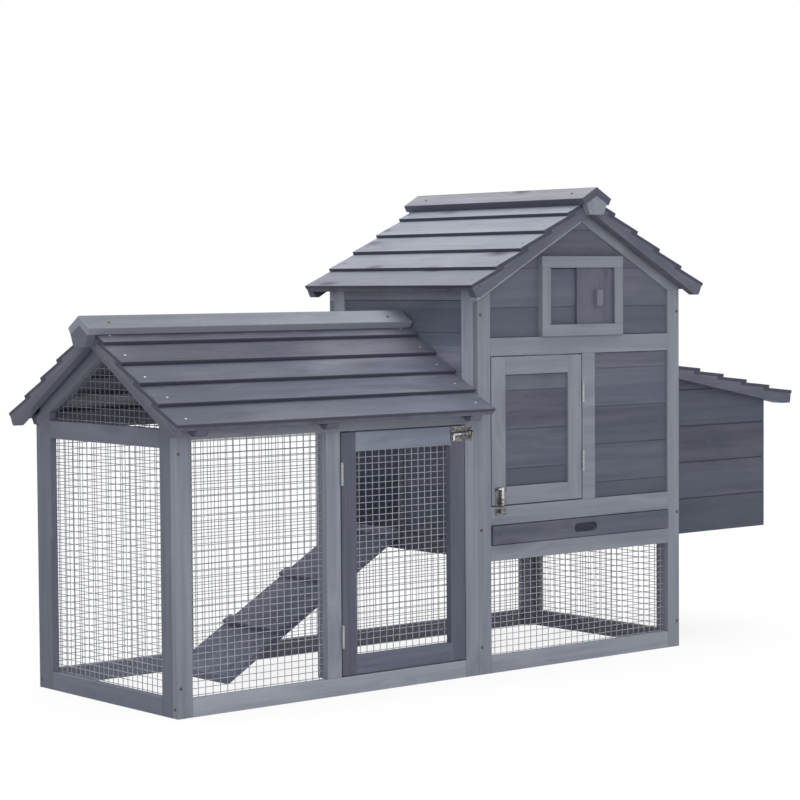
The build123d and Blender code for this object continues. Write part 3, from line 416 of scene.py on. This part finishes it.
def metal(name, pale, deep, metallic, rough, scale, stainAndShade=None):
    material, tree, shader, where = newMaterial(name)
    cloud = put(tree, "TexNoise", {"Vector": where, "Scale": scale, "Detail": plating["cloudDetail"],
                                   "Roughness": 0.65}).outputs[0]
    mask = fade(tree, cloud, 0.35, 0.65)
    edge = useGroup(tree, "rubbedEdge", {"Width": plating["rubWidth"], "Patch": mask})["Mask"]
    colour = mixed(tree, mask, deep, pale)
    colour = mixed(tree, sums(tree, "MULTIPLY", edge, plating["rub"]), colour, pale)
    if stainAndShade:
        colour = stainedAndShaded(tree, where, colour, stainAndShade)
    tree.links.new(colour, shader.inputs["Base Color"])
    tree.links.new(fade(tree, cloud, 0.3, 0.7, *rough), shader.inputs["Roughness"])
    shader.inputs["Metallic"].default_value = metallic
    bump = put(tree, "Bump", {"Height": cloud, "Strength": plating["bumpStrength"],
                              "Distance": plating["bump"]})
    tree.links.new(bump.outputs[0], shader.inputs["Normal"])
    return material


# Lines of the boards, read from the frame

lapRoom = 0.0005  # so that a board's own edge counts as its own


def boardLines(nodeName, axis, middle):
    # how far the lowest lapped board reaches from the ridge line, and the step to the next one
    reach = sorted(max(abs(p[axis] - middle) for p in points) for points in solidsOf(nodeName))
    return reach[-1] + lapRoom, reach[-1] - reach[-2]


walls = {"step": 0.083, "panel": 0.386, "gable": 0.771, "gableFrom": 0.69, "door": 0.4295, "nest": 0.3275}
roofs = {"runPitch": math.radians(31.3), "coopPitch": math.radians(29), "lidPitch": math.radians(11)}

coopMiddle = (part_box("coop_roof_left_boards")[0][0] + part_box("coop_roof_right_boards")[1][0]) / 2
runLine, runStep = boardLines("run_roof_front_boards", 1, 0.0)
coopLine, coopStep = boardLines("coop_roof_left_boards", 0, coopMiddle)
lidLine, lidStep = boardLines("nest_lid_boards", 0, 0.0)

runBoards = {"direction": (0, 1, 0), "start": runLine, "step": runStep, "mirror": (1, 0.0)}
coopBoards = {"direction": (1, 0, 0), "start": coopLine, "step": coopStep, "mirror": (0, coopMiddle)}
lidBoards = {"direction": (1, 0, 0), "start": lidLine, "step": lidStep}
panelBoards = {"direction": (0, 0, 1), "start": walls["panel"], "step": walls["step"],
               "upperFrom": walls["gableFrom"], "upperStart": walls["gable"]}
doorBoards = {"direction": (0, 0, 1), "start": walls["door"], "step": walls["step"]}
nestBoards = {"direction": (0, 0, 1), "start": walls["nest"], "step": walls["step"], "seam": 0.55}
runFold = {"axis": 1, "middle": 0.0, "pitch": roofs["runPitch"]}
coopFold = {"axis": 0, "middle": coopMiddle, "pitch": roofs["coopPitch"]}
runTop = {"axis": 1, "pitch": roofs["runPitch"]}
coopTop = {"axis": 0, "pitch": roofs["coopPitch"]}
lidTop = {"axis": 0, "pitch": roofs["lidPitch"]}


def frameCross(nodeName, axis, member, levelInside):
    low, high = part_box(nodeName)
    half = (high[axis] - low[axis]) / 2 - member
    return {"axis": axis, "middle": (low[axis] + high[axis]) / 2, "half": half, "levelInside": levelInside}


# Members painted lighter or darker than the rest of their paint; most of these tints are painted light and
# shade

doorLow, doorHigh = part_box("run_door_frame")
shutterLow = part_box("window_shutter")[0]
runPosts = sorted((boxOf(points) for points in solidsOf("run_front_stiles")), key=lambda box: box[0].x)
hingePost = runPosts[1]
members = {"doorStile": 0.036, "doorRail": 0.04, "knobBase": 0.0125, "footTop": 0.06, "runTop": 0.56,
           "runLeft": -0.8, "wallFoot": 0.1, "backRail": 0.5, "runBlock": -0.5, "gableWireShade": 0.555,
           "far": 2.0}
far, runTopZ = members["far"], members["runTop"]
doorSpan = (doorLow.x + members["doorStile"], doorHigh.x - members["doorStile"])
foot = {2: (-far, members["footTop"])}
leftAbove = {0: (-far, 0.0), 2: (runTopZ, far)}  # the coop's left side, above the run
leftInRun = {0: (-far, 0.0), 2: (members["wallFoot"], runTopZ)}  # the same side, inside the run
topBoards = runLine - 3 * runStep
eaveBoard = coopLine - coopStep
doorHead = {0: doorSpan, 2: (doorHigh.z - members["doorRail"], far)}
doorSill = {0: doorSpan, 2: (-far, doorLow.z + members["doorRail"])}
tints = {
    # painted shade: the run's end, and the outer side of its back-left post, made darker
    "runEnd": {"colour": (0.64, 0.645, 0.69, 1), "spans": {}},
    "backPost": {"colour": (0.64, 0.645, 0.69, 1), "spans": {0: (-far, members["runLeft"])}},
    # painted shade on the upper part of the run's back rails
    "backRail": {"colour": (0.5, 0.505, 0.55, 1), "spans": {2: (members["backRail"], far)}},
    "hingePost": {"colour": (1.15, 1.15, 1.15, 1), "spans": {0: (hingePost[0].x, hingePost[1].x)}},
    # painted light: rails lighter near the floor, here and in the next two
    "runFoot": {"colour": (1.41, 1.4, 1.37, 1), "spans": foot},
    "coopFoot": {"colour": (1.28, 1.27, 1.25, 1), "spans": foot},
    "endFoot": {"colour": (1.16, 1.16, 1.16, 1), "spans": foot},
    # painted light and shade along the run: the cap and the roof boards darker towards the run's left end,
    # lighter towards the coop
    "runCap": {"along": (0, -0.85, -0.1, 0.68, 0.99)},
    "runRoof": {"along": (0, -0.85, -0.05, 0.9, 1.32)},
    # painted shadow of the ridge cap on the top boards of the run roof
    "topBoards": {"colour": (0.67, 0.67, 0.685, 1), "spans": {1: (-topBoards, topBoards)}},
    # painted light on the coop's left wall above the run
    "leftWall": {"colour": (1.8, 1.77, 1.75, 1), "spans": leftAbove},
    # painted shade under the eaves: the coop's side walls lighter low down, darker towards the top
    "wallTop": {"along": (2, 0.68, 0.8, 1.2, 0.71)},
    # painted shade on the coop's left side inside the run: on its boards here, and on its posts and rails in
    # the next line
    "runWall": {"colour": (0.72, 0.72, 0.72, 1), "spans": leftInRun},
    "popHole": {"colour": (0.36, 0.365, 0.39, 1), "spans": leftInRun},
    # painted light on the coop's left posts above the run
    "leftPost": {"colour": (1.62, 1.61, 1.59, 1), "spans": leftAbove},
    # painted light on the coop's left rafters
    "leftRafter": {"colour": (1.7, 1.7, 1.68, 1), "spans": {0: (-far, coopMiddle)}},
    "eaveLeft": {"colour": (0.83, 0.825, 0.83, 1), "spans": {0: (-far, coopMiddle - eaveBoard)}},
    "eaveRight": {"colour": (0.83, 0.825, 0.83, 1), "spans": {0: (coopMiddle + eaveBoard, far)}},
    "coopCap": {"colour": (0.89, 0.85, 0.82, 1), "spans": {}},
    # painted light on the front boards of the gable
    "gable": {"colour": (1.15, 1.14, 1.15, 1), "spans": {2: (walls["gableFrom"], far)}},
    # painted shade on the run's ridge block
    "runBlock": {"colour": (0.52, 0.525, 0.56, 1), "spans": {0: (-far, members["runBlock"])}},
    "doorTop": {"colour": (2.15, 2.2, 2.1, 1), "spans": doorHead},
    "doorFoot": {"colour": (1.3, 1.32, 1.32, 1), "spans": doorSill},
    # painted light on the ramp and its cleats, strongest at its low end
    "ramp": {"along": (0, -0.56, -0.4, 2.0, 1.15)},
    "nest": {"colour": (0.80, 0.80, 0.82, 1), "spans": {}},
    "shutter": {"colour": (1.03, 1.01, 1.035, 1), "spans": {}},
    "knob": {"colour": (1.31, 1.31, 1.29, 1), "spans": {1: (-far, shutterLow.y + members["knobBase"])}},
}

# Which finish each timber node takes

finishes = [
    (paintedTimber("greyPaintLong", "grey", 0), ["coop_back_rails"]),
    (paintedTimber("greyPaintRunRails", "grey", 0, stainsAndShades=["runFoot"]), ["run_front_rails"]),
    (paintedTimber("greyPaintBackRails", "grey", 0, stainsAndShades=["backRail"]), ["run_back_rails"]),
    (paintedTimber("greyPaintRunCap", "grey", 0, top=runTop, stainsAndShades=["runCap"]), ["run_ridge_cap"]),
    (paintedTimber("greyPaintDeep", "grey", 1, stainsAndShades=["popHole"]), ["coop_side_rails"]),
    (paintedTimber("greyPaintBlocks", "grey", 1, stainsAndShades=["runBlock"]), ["ridge_blocks"]),
    (paintedTimber("greyPaintEndDeep", "grey", 1, stainsAndShades=["runEnd", "endFoot"]), ["run_end_rails"]),
    (paintedTimber("greyPaintEndUpright", "grey", 2, stainsAndShades=["runEnd"]), ["run_end_stiles"]),
    (paintedTimber("greyPaintUpright", "grey", 2),
     ["coop_front_stiles", "coop_back_stiles", "inner_battens"]),
    (paintedTimber("greyPaintRunFront", "grey", 2, stainsAndShades=["hingePost"]), ["run_front_stiles"]),
    (paintedTimber("greyPaintRunBack", "grey", 2, stainsAndShades=["backPost"]), ["run_back_stiles"]),
    (paintedTimber("greyPaintCoopSides", "grey", 2, stainsAndShades=["leftPost", "popHole"]), ["coop_side_stiles"]),
    (paintedTimber("greyPaintCoopRails", "grey", 0, stainsAndShades=["coopFoot"]), ["coop_front_rails"]),
    (paintedTimber("greyPaintRunRafters", "grey", 1, fold=runFold, stainsAndShades=["runEnd"]), ["run_end_rafters"]),
    (paintedTimber("greyPaintCoopRafters", "grey", 0, fold=coopFold, stainsAndShades=["leftRafter"]),
     ["coop_rafters"]),
    (paintedTimber("greyPaintCoopDoor", "grey", 0,
                   cross=frameCross("coop_door_frame", 0, member=0.04, levelInside=True)),
     ["coop_door_frame"]),
    (paintedTimber("greyPaintWindow", "grey", 0,
                   cross=frameCross("window_frame", 2, member=0.025, levelInside=False)), ["window_frame"]),
    (paintedTimber("slatePaintRunDoor", "slate", 0, stainsAndShades=["doorTop", "doorFoot"],
                   cross=frameCross("run_door_frame", 0, member=0.038, levelInside=True)),
     ["run_door_frame"]),
    (paintedTimber("slatePaintFrontBoards", "slate", 0, boards=panelBoards, stainsAndShades=["gable"]),
     ["coop_front_boards"]),
    (paintedTimber("slatePaintDoorBoards", "slate", 0, boards=doorBoards), ["coop_door_boards"]),
    (paintedTimber("slatePaintBackBoards", "slate", 0, boards=panelBoards), ["coop_back_boards"]),
    (paintedTimber("slatePaintSideBoards", "slate", 1, boards=panelBoards,
                   stainsAndShades=["leftWall", "wallTop", "runWall"]), ["coop_side_boards"]),
    (paintedTimber("slatePaintNestLong", "slate", 0, boards=nestBoards, stainsAndShades=["nest"]),
     ["nest_side_walls"]),
    (paintedTimber("slatePaintNestEnd", "slate", 1, boards=nestBoards, stainsAndShades=["nest"]), ["nest_end_wall"]),
    (paintedTimber("slatePaintLong", "slate", 0), ["tray_front"]),
    (paintedTimber("slatePaintRamp", "ramp", 0, stainsAndShades=["ramp"]), ["ramp_board"]),
    (paintedTimber("slatePaintDeep", "slate", 1), ["tray_base"]),
    (paintedTimber("slatePaintCleats", "ramp", 1, stainsAndShades=["ramp"]), ["ramp_cleats"]),
    (paintedTimber("slatePaintUpright", "slate", 2, stainsAndShades=["shutter", "knob"]), ["window_shutter"]),
    (paintedTimber("slatePaintRunBattens", "batten", 1, fold=runFold), ["run_roof_battens"]),
    (paintedTimber("slatePaintCoopBattens", "batten", 0, fold=coopFold), ["coop_roof_battens"]),
    (paintedTimber("slatePaintLidBattens", "batten", 0), ["nest_lid_battens"]),
    (paintedTimber("runRoofPaint", "runRoof", 0, boards=runBoards, top=runTop,
                   stainsAndShades=["runRoof", "topBoards"]),
     ["run_roof_front_boards", "run_roof_back_boards"]),
    (paintedTimber("coopRoofPaint", "coopRoof", 1, boards=coopBoards, top=coopTop,
                   stainsAndShades=["eaveLeft", "eaveRight"]),
     ["coop_roof_left_boards", "coop_roof_right_boards"]),
    (paintedTimber("coopCapPaint", "coopCap", 1, top=coopTop, stainsAndShades=["coopCap"]), ["coop_ridge_cap"]),
    (paintedTimber("lidPaint", "runRoof", 1, boards=lidBoards, top=lidTop), ["nest_lid_boards"]),
    (paintedTimber("pineDeep", "pine", 1), ["tray_runners", "perch"]),
    (paintedTimber("pineLong", "pine", 0), ["nest_floor", "nest_divider"]),
]
# painted shade on the upper wires at the run's end, in the gable
gableWireShade = {"colour": (0.46, 0.46, 0.48, 1),
             "spans": {0: (-far, members["runLeft"]), 2: (members["gableWireShade"], far)}}
hingeSteel = metal("hingeSteel", (0.40, 0.405, 0.425, 1), (0.28, 0.283, 0.30, 1), 0.6, (0.4, 0.55), 160.0)
boltPlate = metal("boltPlate", (0.30, 0.285, 0.285, 1), (0.10, 0.095, 0.097, 1), 0.9, (0.25, 0.42), 210.0)
brightRod = metal("brightRod", (0.62, 0.62, 0.64, 1), (0.42, 0.42, 0.45, 1), 1.0, (0.14, 0.3), 120.0)
zincWire = metal("zincWire", (0.47, 0.477, 0.53, 1), (0.33, 0.336, 0.385, 1), 0.2, (0.42, 0.58), 90.0,
                 gableWireShade)
darkScrew = metal("darkScrew", (0.16, 0.145, 0.115, 1), (0.055, 0.05, 0.042, 1), 0.6, (0.35, 0.55), 300.0)
darkNail = metal("darkNail", (0.15, 0.15, 0.165, 1), (0.06, 0.06, 0.07, 1), 0.5, (0.4, 0.6), 300.0)
paleNail = metal("paleNail", (0.78, 0.77, 0.74, 1), (0.45, 0.44, 0.43, 1), 0.3, (0.35, 0.55), 300.0)
finishes += [
    (hingeSteel, ["hinge_fixed_leaves", "hinge_pins", "run_door_leaves", "coop_door_leaves",
                  "nest_lid_leaves"]),
    (boltPlate, ["bolt_keepers", "run_bolt_plate", "coop_bolt_plate"]),
    (brightRod, ["run_bolt", "coop_bolt"]),
]
for material, names in finishes:
    for name in names:
        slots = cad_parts[name].data.materials
        slots.clear()
        slots.append(material)
print("finishes given to", sum(len(names) for material, names in finishes), "nodes")


# Welded nets in place of the flat ones

net = {"across": 0.0173, "up": 0.0132, "radius": 0.00078, "sides": 6, "cuts": 5, "waver": 0.00012,
       "weld": 0.0003, "smooth": math.radians(65), "near": 0.001}


def wireRow(start, end, step, count):
    length = (end - start).length
    bpy.ops.object.select_all(action="DESELECT")
    bpy.ops.mesh.primitive_cylinder_add(
        vertices=net["sides"], radius=net["radius"], depth=length, location=(start + end) / 2,
        rotation=(end - start).to_track_quat("Z", "Y").to_euler())
    row = bpy.context.object
    bpy.ops.object.transform_apply(location=True, rotation=True, scale=True)
    bpy.ops.object.mode_set(mode="EDIT")
    bpy.ops.mesh.select_mode(type="EDGE")
    bpy.ops.mesh.select_all(action="DESELECT")
    bpy.ops.object.mode_set(mode="OBJECT")
    for edge in row.data.edges:
        a, b = (row.data.vertices[i].co for i in edge.vertices)
        edge.select = (a - b).length > length / 2
    bpy.ops.object.mode_set(mode="EDIT")
    bpy.ops.mesh.subdivide(number_cuts=net["cuts"])
    bpy.ops.object.mode_set(mode="OBJECT")
    array = row.modifiers.new("row", "ARRAY")
    array.use_relative_offset = False
    array.use_constant_offset = True
    array.constant_offset_displace = step
    array.count = count
    bpy.ops.object.modifier_apply(modifier="row")
    return row


def trimToGable(panel, points, wide):
    # cuts the wires back to the two slopes of a gable
    low, high = boxOf(points)
    shoulder = max(p.z for p in points if p[wide] - low[wide] < net["near"])
    if shoulder > high.z - net["near"]:
        return
    middle = (low[wide] + high[wide]) / 2
    useAlone(panel)
    for edge in (low[wide], high[wide]):
        corner = Vector((low.x, low.y, shoulder))
        corner[wide] = edge
        outward = Vector((0, 0, abs(middle - edge)))
        outward[wide] = math.copysign(high.z - shoulder, edge - middle)
        bpy.ops.object.mode_set(mode="EDIT")
        bpy.ops.mesh.select_all(action="SELECT")
        bpy.ops.mesh.bisect(plane_co=corner, plane_no=outward.normalized(), clear_outer=True, use_fill=True)
        bpy.ops.object.mode_set(mode="OBJECT")


def netPanel(points):
    low, high = boxOf(points)
    thin = min((0, 1), key=lambda i: high[i] - low[i])
    wide = 1 - thin
    outward = 1 if low[thin] > 0 else -1
    face = high[thin] if outward > 0 else low[thin]
    inner = 3 * net["radius"] - net["weld"]  # the uprights lie behind the level wires
    rows = []
    for along, step, depth in ((wide, net["up"], net["radius"]), (2, net["across"], inner)):
        other = 2 if along == wide else wide
        count = int((high[other] - low[other]) / step)
        margin = (high[other] - low[other] - (count - 1) * step) / 2
        start = low.copy()
        start[thin] = face - outward * depth
        start[other] = low[other] + margin
        end = start.copy()
        end[along] = high[along]
        move = [0.0, 0.0, 0.0]
        move[other] = step
        rows.append(wireRow(start, end, move, count))
    panel = joinAll(rows, "panel")
    trimToGable(panel, points, wide)
    return panel


def weldedNet(name, nodeName, body, seed):
    made = joinAll([netPanel(points) for points in solidsOf(nodeName)], name)
    useAlone(made)
    bpy.ops.object.mode_set(mode="EDIT")
    bpy.ops.mesh.select_all(action="SELECT")
    bpy.ops.transform.vertex_random(offset=net["waver"], seed=seed)
    bpy.ops.object.mode_set(mode="OBJECT")
    bpy.ops.object.shade_smooth_by_angle(angle=net["smooth"])
    made.data.materials.append(zincWire)
    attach(made, body)
    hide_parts(nodeName)
    return made


netPieces = [
    weldedNet("runFrontNet", "run_front_net", "house", 3),
    weldedNet("runBackNets", "run_back_nets", "house", 5),
    weldedNet("runEndNets", "run_end_nets", "house", 7),
    weldedNet("coopLowerNets", "coop_lower_nets", "house", 11),
    weldedNet("runDoorNet", "run_door_net", "run_door", 13),
]
print("nets welded:", sum(len(piece.data.polygons) for piece in netPieces), "faces")


# Nails and screws

screw = {"radius": 0.0035, "rim": 0.0006, "dome": 0.0005, "sides": 12, "crown": 0.4, "slotLength": 0.0042,
         "slotWidth": 0.0009, "slotDepth": 0.0007}
nail = {"radius": 0.0026, "rim": 0.0003, "dome": 0.0003, "sides": 10, "crown": 0.4}
headSmooth = math.radians(40)
smallScrew = dict(screw, radius=0.0024, slotLength=0.003, slotWidth=0.0007)


def roundHead(sizes):
    # a low head, standing on the face it is driven into
    bpy.ops.object.select_all(action="DESELECT")
    bpy.ops.mesh.primitive_cylinder_add(vertices=sizes["sides"], radius=sizes["radius"],
                                        depth=2 * sizes["rim"])
    head = bpy.context.object
    editFaces(head, lambda face: face.normal.z > 0.9)
    bpy.ops.mesh.inset(thickness=sizes["radius"] * sizes["crown"], depth=0.0)
    bpy.ops.transform.translate(value=(0, 0, sizes["dome"]))
    bpy.ops.object.mode_set(mode="OBJECT")
    return head


def crossSlot(head, sizes):
    # a cross driven into the head
    bars = []
    for turn in (0, math.pi / 2):
        bpy.ops.object.select_all(action="DESELECT")
        top = sizes["rim"] + sizes["dome"]
        bpy.ops.mesh.primitive_cube_add(size=1, location=(0, 0, top), rotation=(0, 0, turn))
        bar = bpy.context.object
        bar.scale = (sizes["slotLength"], sizes["slotWidth"], 2 * sizes["slotDepth"])
        bpy.ops.object.transform_apply(location=True, rotation=True, scale=True)
        bars.append(bar)
    for bar in bars:
        useAlone(head)
        cut = head.modifiers.new("slot", "BOOLEAN")
        cut.operation = "DIFFERENCE"
        cut.object = bar
        bpy.ops.object.modifier_apply(modifier="slot")
        bpy.data.objects.remove(bar)
    return head


def castOnto(nodeName, origin, direction):
    # where a line meets a node, and which way the face looks there
    hit, spot, normal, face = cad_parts[nodeName].ray_cast(Vector(origin), Vector(direction))
    return (spot, normal) if hit else None


def drive(name, model, spots, body, material):
    # a copy of the head at each spot, turned at random
    chance = random.Random(len(name))
    copies = []
    for spot, normal in spots:
        twin = model.copy()
        twin.data = model.data.copy()
        turn = Matrix.Rotation(chance.uniform(0, math.pi), 4, "Z")
        stand = normal.to_track_quat("Z", "Y").to_matrix().to_4x4()
        twin.data.transform(Matrix.Translation(spot) @ stand @ turn)
        bpy.context.collection.objects.link(twin)
        copies.append(twin)
    made = joinAll(copies, name)
    bpy.ops.object.shade_smooth_by_angle(angle=headSmooth)
    made.data.materials.clear()
    made.data.materials.append(material)
    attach(made, body)
    return made


nails = {"runInset": 0.03, "coopInset": 0.022, "lidInset": 0.016, "rise": 0.024, "riseWaver": 0.004,
         "lineWaver": 0.005, "reach": 0.2}


def boardNails(nodeName, axis, outward, lines, seed):
    # a nail near each end of each lapped board, a little up from its lower edge
    chance = random.Random(seed)
    spots = []
    for points in solidsOf(nodeName):
        low, high = boxOf(points)
        edge = high[axis] if outward > 0 else low[axis]
        for line in lines:
            origin = Vector((0, 0, high.z + nails["reach"]))
            rise = nails["rise"] + chance.uniform(-nails["riseWaver"], nails["riseWaver"])
            origin[axis] = edge - outward * rise
            origin[1 - axis] = line + chance.uniform(-nails["lineWaver"], nails["lineWaver"])
            spot = castOnto(nodeName, origin, (0, 0, -1))
            if spot:
                spots.append(spot)
    return spots


def endLines(nodeName, axis, inset):
    low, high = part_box(nodeName)
    return [low[axis] + inset, high[axis] - inset]


nailModel = roundHead(nail)
runLines = endLines("run_roof_front_boards", 0, nails["runInset"])
coopLines = endLines("coop_roof_left_boards", 1, nails["coopInset"])
lidLines = endLines("nest_lid_boards", 1, nails["lidInset"])
runSpots = boardNails("run_roof_front_boards", 1, -1, runLines, 1)
runSpots += boardNails("run_roof_back_boards", 1, 1, runLines, 2)
coopSpots = boardNails("coop_roof_left_boards", 0, -1, coopLines, 3)
coopSpots += boardNails("coop_roof_right_boards", 0, 1, coopLines, 4)
lidSpots = boardNails("nest_lid_boards", 0, 1, lidLines, 5)
drive("runRoofNails", nailModel, runSpots, "house", paleNail)
drive("coopRoofNails", nailModel, coopSpots, "house", darkNail)
drive("lidNails", nailModel, lidSpots, "nest_lid", darkNail)
bpy.data.objects.remove(nailModel)
print("nails driven:", len(runSpots) + len(coopSpots) + len(lidSpots))

fixings = {"capInset": 0.055, "capSpread": 0.022, "plateInset": 0.0055, "trayInset": 0.019, "reach": 0.3,
           "endSide": 0.242, "endFront": 0.018, "endBack": (0.017, 0.54)}
screwModel = crossSlot(roundHead(screw), screw)
smallModel = crossSlot(roundHead(smallScrew), smallScrew)


def stileSpots():
    # where the frame's own screws stand
    spots = []
    for points in solidsOf("frame_screws"):
        low, high = boxOf(points)
        facing = Vector((0, -1 if low.y < 0 else 1, 0))
        middle = (low + high) / 2
        middle.y = high.y if facing.y < 0 else low.y
        spots.append((middle, facing))
    return spots


def capSpots(nodeName, axis):
    # a screw near each end of each side of a ridge cap
    low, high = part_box(nodeName)
    middle = (low + high) / 2
    spots = []
    for along in (low[axis] + fixings["capInset"], high[axis] - fixings["capInset"]):
        for side in (-1, 1):
            origin = Vector((0, 0, high.z + fixings["reach"]))
            origin[axis] = along
            origin[1 - axis] = middle[1 - axis] + side * fixings["capSpread"]
            spots.append(castOnto(nodeName, origin, (0, 0, -1)))
    return spots


def plateSpots(points, nodeName):
    # screws in the corners of a bolt's plate, seen from the front
    low, high = boxOf(points)
    inset = fixings["plateInset"]
    spots = []
    for x in (low.x + inset, high.x - inset):
        for z in (low.z + inset, high.z - inset):
            spots.append(castOnto(nodeName, (x, low.y - fixings["reach"], z), (0, 1, 0)))
    return spots


def endSpots():
    # screws through the outer corner stiles of the run
    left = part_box("run_front_stiles")[0].x - fixings["reach"]
    side = fixings["endSide"]
    spots = [castOnto("run_front_stiles", (left, -side, fixings["endFront"]), (1, 0, 0))]
    for height in fixings["endBack"]:
        spots.append(castOnto("run_back_stiles", (left, side, height), (1, 0, 0)))
    return spots


def traySpots():
    low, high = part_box("tray_front")
    height = (low.z + high.z) / 2
    places = (low.x + fixings["trayInset"], high.x - fixings["trayInset"])
    return [castOnto("tray_front", (x, low.y - fixings["reach"], height), (0, 1, 0)) for x in places]


frameScrews = drive("frameScrews", screwModel, stileSpots(), "house", darkScrew)
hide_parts("frame_screws")
ridgeSpots = capSpots("run_ridge_cap", 0) + capSpots("coop_ridge_cap", 1)
drive("capScrews", screwModel, ridgeSpots, "house", darkScrew)
drive("endScrews", screwModel, endSpots(), "house", darkScrew)
drive("trayScrews", screwModel, traySpots(), "tray", darkScrew)
runPlateSpots = plateSpots(solidsOf("run_bolt_plate")[0], "run_bolt_plate")
coopPlateSpots = plateSpots(solidsOf("coop_bolt_plate")[0], "coop_bolt_plate")
drive("runBoltScrews", smallModel, runPlateSpots, "run_door", darkScrew)
drive("coopBoltScrews", smallModel, coopPlateSpots, "coop_door", darkScrew)
keeperSpots = []
for points in solidsOf("bolt_keepers"):
    keeperSpots += plateSpots(points, "bolt_keepers")
drive("keeperScrews", smallModel, keeperSpots, "house", darkScrew)
bpy.data.objects.remove(screwModel)
bpy.data.objects.remove(smallModel)
print("screws driven")


# Floor, light and camera

stage = {"floorSize": 60.0, "floorColour": (0.6, 0.6, 0.61, 1), "whiteShare": 0.8, "whiteLevel": 1.1,
         "ambient": 0.25, "ambientColour": (0.88, 0.93, 1.0, 1), "white": (1, 1, 1, 1), "lampDistance": 4}


def seenDirectly(tree):
    # 1 for what the camera, mirrors and glass see
    path = put(tree, "LightPath").outputs
    mirrors = sums(tree, "MAXIMUM", path["Is Glossy Ray"], path["Is Transmission Ray"])
    return sums(tree, "MAXIMUM", path["Is Camera Ray"], mirrors)


def layFloor():
    bpy.ops.object.select_all(action="DESELECT")
    bpy.ops.mesh.primitive_plane_add(size=stage["floorSize"])
    floor = bpy.context.object
    floor.name = "studioFloor"
    material, tree, shader, where = newMaterial("paleFloor")
    tree.nodes.remove(shader)
    matt = put(tree, "BsdfDiffuse", {"Color": stage["floorColour"]}).outputs[0]
    white = put(tree, "Emission", {"Color": stage["white"], "Strength": stage["whiteLevel"]}).outputs[0]
    share = sums(tree, "MULTIPLY", seenDirectly(tree), stage["whiteShare"])
    both = put(tree, "MixShader", {0: share, 1: matt, 2: white}).outputs[0]
    tree.links.new(both, tree.nodes["Material Output"].inputs["Surface"])
    floor.data.materials.append(material)


def lightWorld():
    world = bpy.data.worlds.new("studio")
    bpy.context.scene.world = world
    world.use_nodes = True
    tree = world.node_tree
    sky = tree.nodes["Background"]
    direct = seenDirectly(tree)
    tree.links.new(mixed(tree, direct, stage["ambientColour"], stage["white"]), sky.inputs["Color"])
    level = fade(tree, direct, 0.0, 1.0, stage["ambient"], 1.0)
    tree.links.new(level, sky.inputs["Strength"])


glows = {  # weak panels inside the run and the cabin, facing down and not seen themselves
    "runGlow": {"place": (-0.47, 0.0, 0.545), "power": 0.5, "size": (0.6, 0.3), "colour": (0.85, 0.92, 1.0)},
    "cabinGlow": {"place": (0.22, 0.0, 0.80), "power": 1.2, "size": (0.3, 0.3), "colour": (0.9, 0.95, 1.0)},
}
lamps = {
    "key": {"from": (0.0, 0.05, 1.0), "strength": 2.7, "spread": 60, "colour": (1, 1, 1)},
    "fill": {"from": (-0.35, -0.91, 0.20), "strength": 1.3, "spread": 60, "colour": (1, 1, 1)},
    "left": {"from": (-0.93, -0.30, 0.15), "strength": 0.25, "spread": 60, "colour": (0.8, 0.9, 1)},
}


def hangLamps():
    for name, lamp in lamps.items():
        sun = bpy.data.lights.new(name, "SUN")
        sun.energy = lamp["strength"]
        sun.color = lamp["colour"]
        sun.angle = math.radians(lamp["spread"])
        holder = bpy.data.objects.new(name, sun)
        holder.location = Vector(lamp["from"]) * stage["lampDistance"]
        holder.rotation_euler = Vector(lamp["from"]).to_track_quat("Z", "Y").to_euler()
        bpy.context.collection.objects.link(holder)
    for name, glow in glows.items():
        panel = bpy.data.lights.new(name, "AREA")
        panel.shape = "RECTANGLE"
        panel.size, panel.size_y = glow["size"]
        panel.energy = glow["power"]
        panel.color = glow["colour"]
        holder = bpy.data.objects.new(name, panel)
        holder.location = glow["place"]
        holder.visible_camera = False
        bpy.context.collection.objects.link(holder)


shot = {"place": (-3.40246, -3.9854, 0.8289), "azimuth": 39.69, "down": 2.85, "roll": -0.407,
        "lens": 107.56, "sensor": 36.0}


def setCamera():
    camera = bpy.data.cameras.new("photoCamera")
    camera.sensor_width = shot["sensor"]
    camera.lens = shot["lens"]
    holder = bpy.data.objects.new("photoCamera", camera)
    turn = Matrix.Rotation(math.radians(-shot["azimuth"]), 4, "Z")
    tilt = Matrix.Rotation(math.radians(90 - shot["down"]), 4, "X")
    roll = Matrix.Rotation(math.radians(shot["roll"]), 4, "Z")
    holder.matrix_world = Matrix.Translation(shot["place"]) @ turn @ tilt @ roll
    bpy.context.collection.objects.link(holder)
    bpy.context.scene.camera = holder


layFloor()
lightWorld()
hangLamps()
setCamera()
bpy.context.scene.view_settings.view_transform = "Standard"
print("stage set")
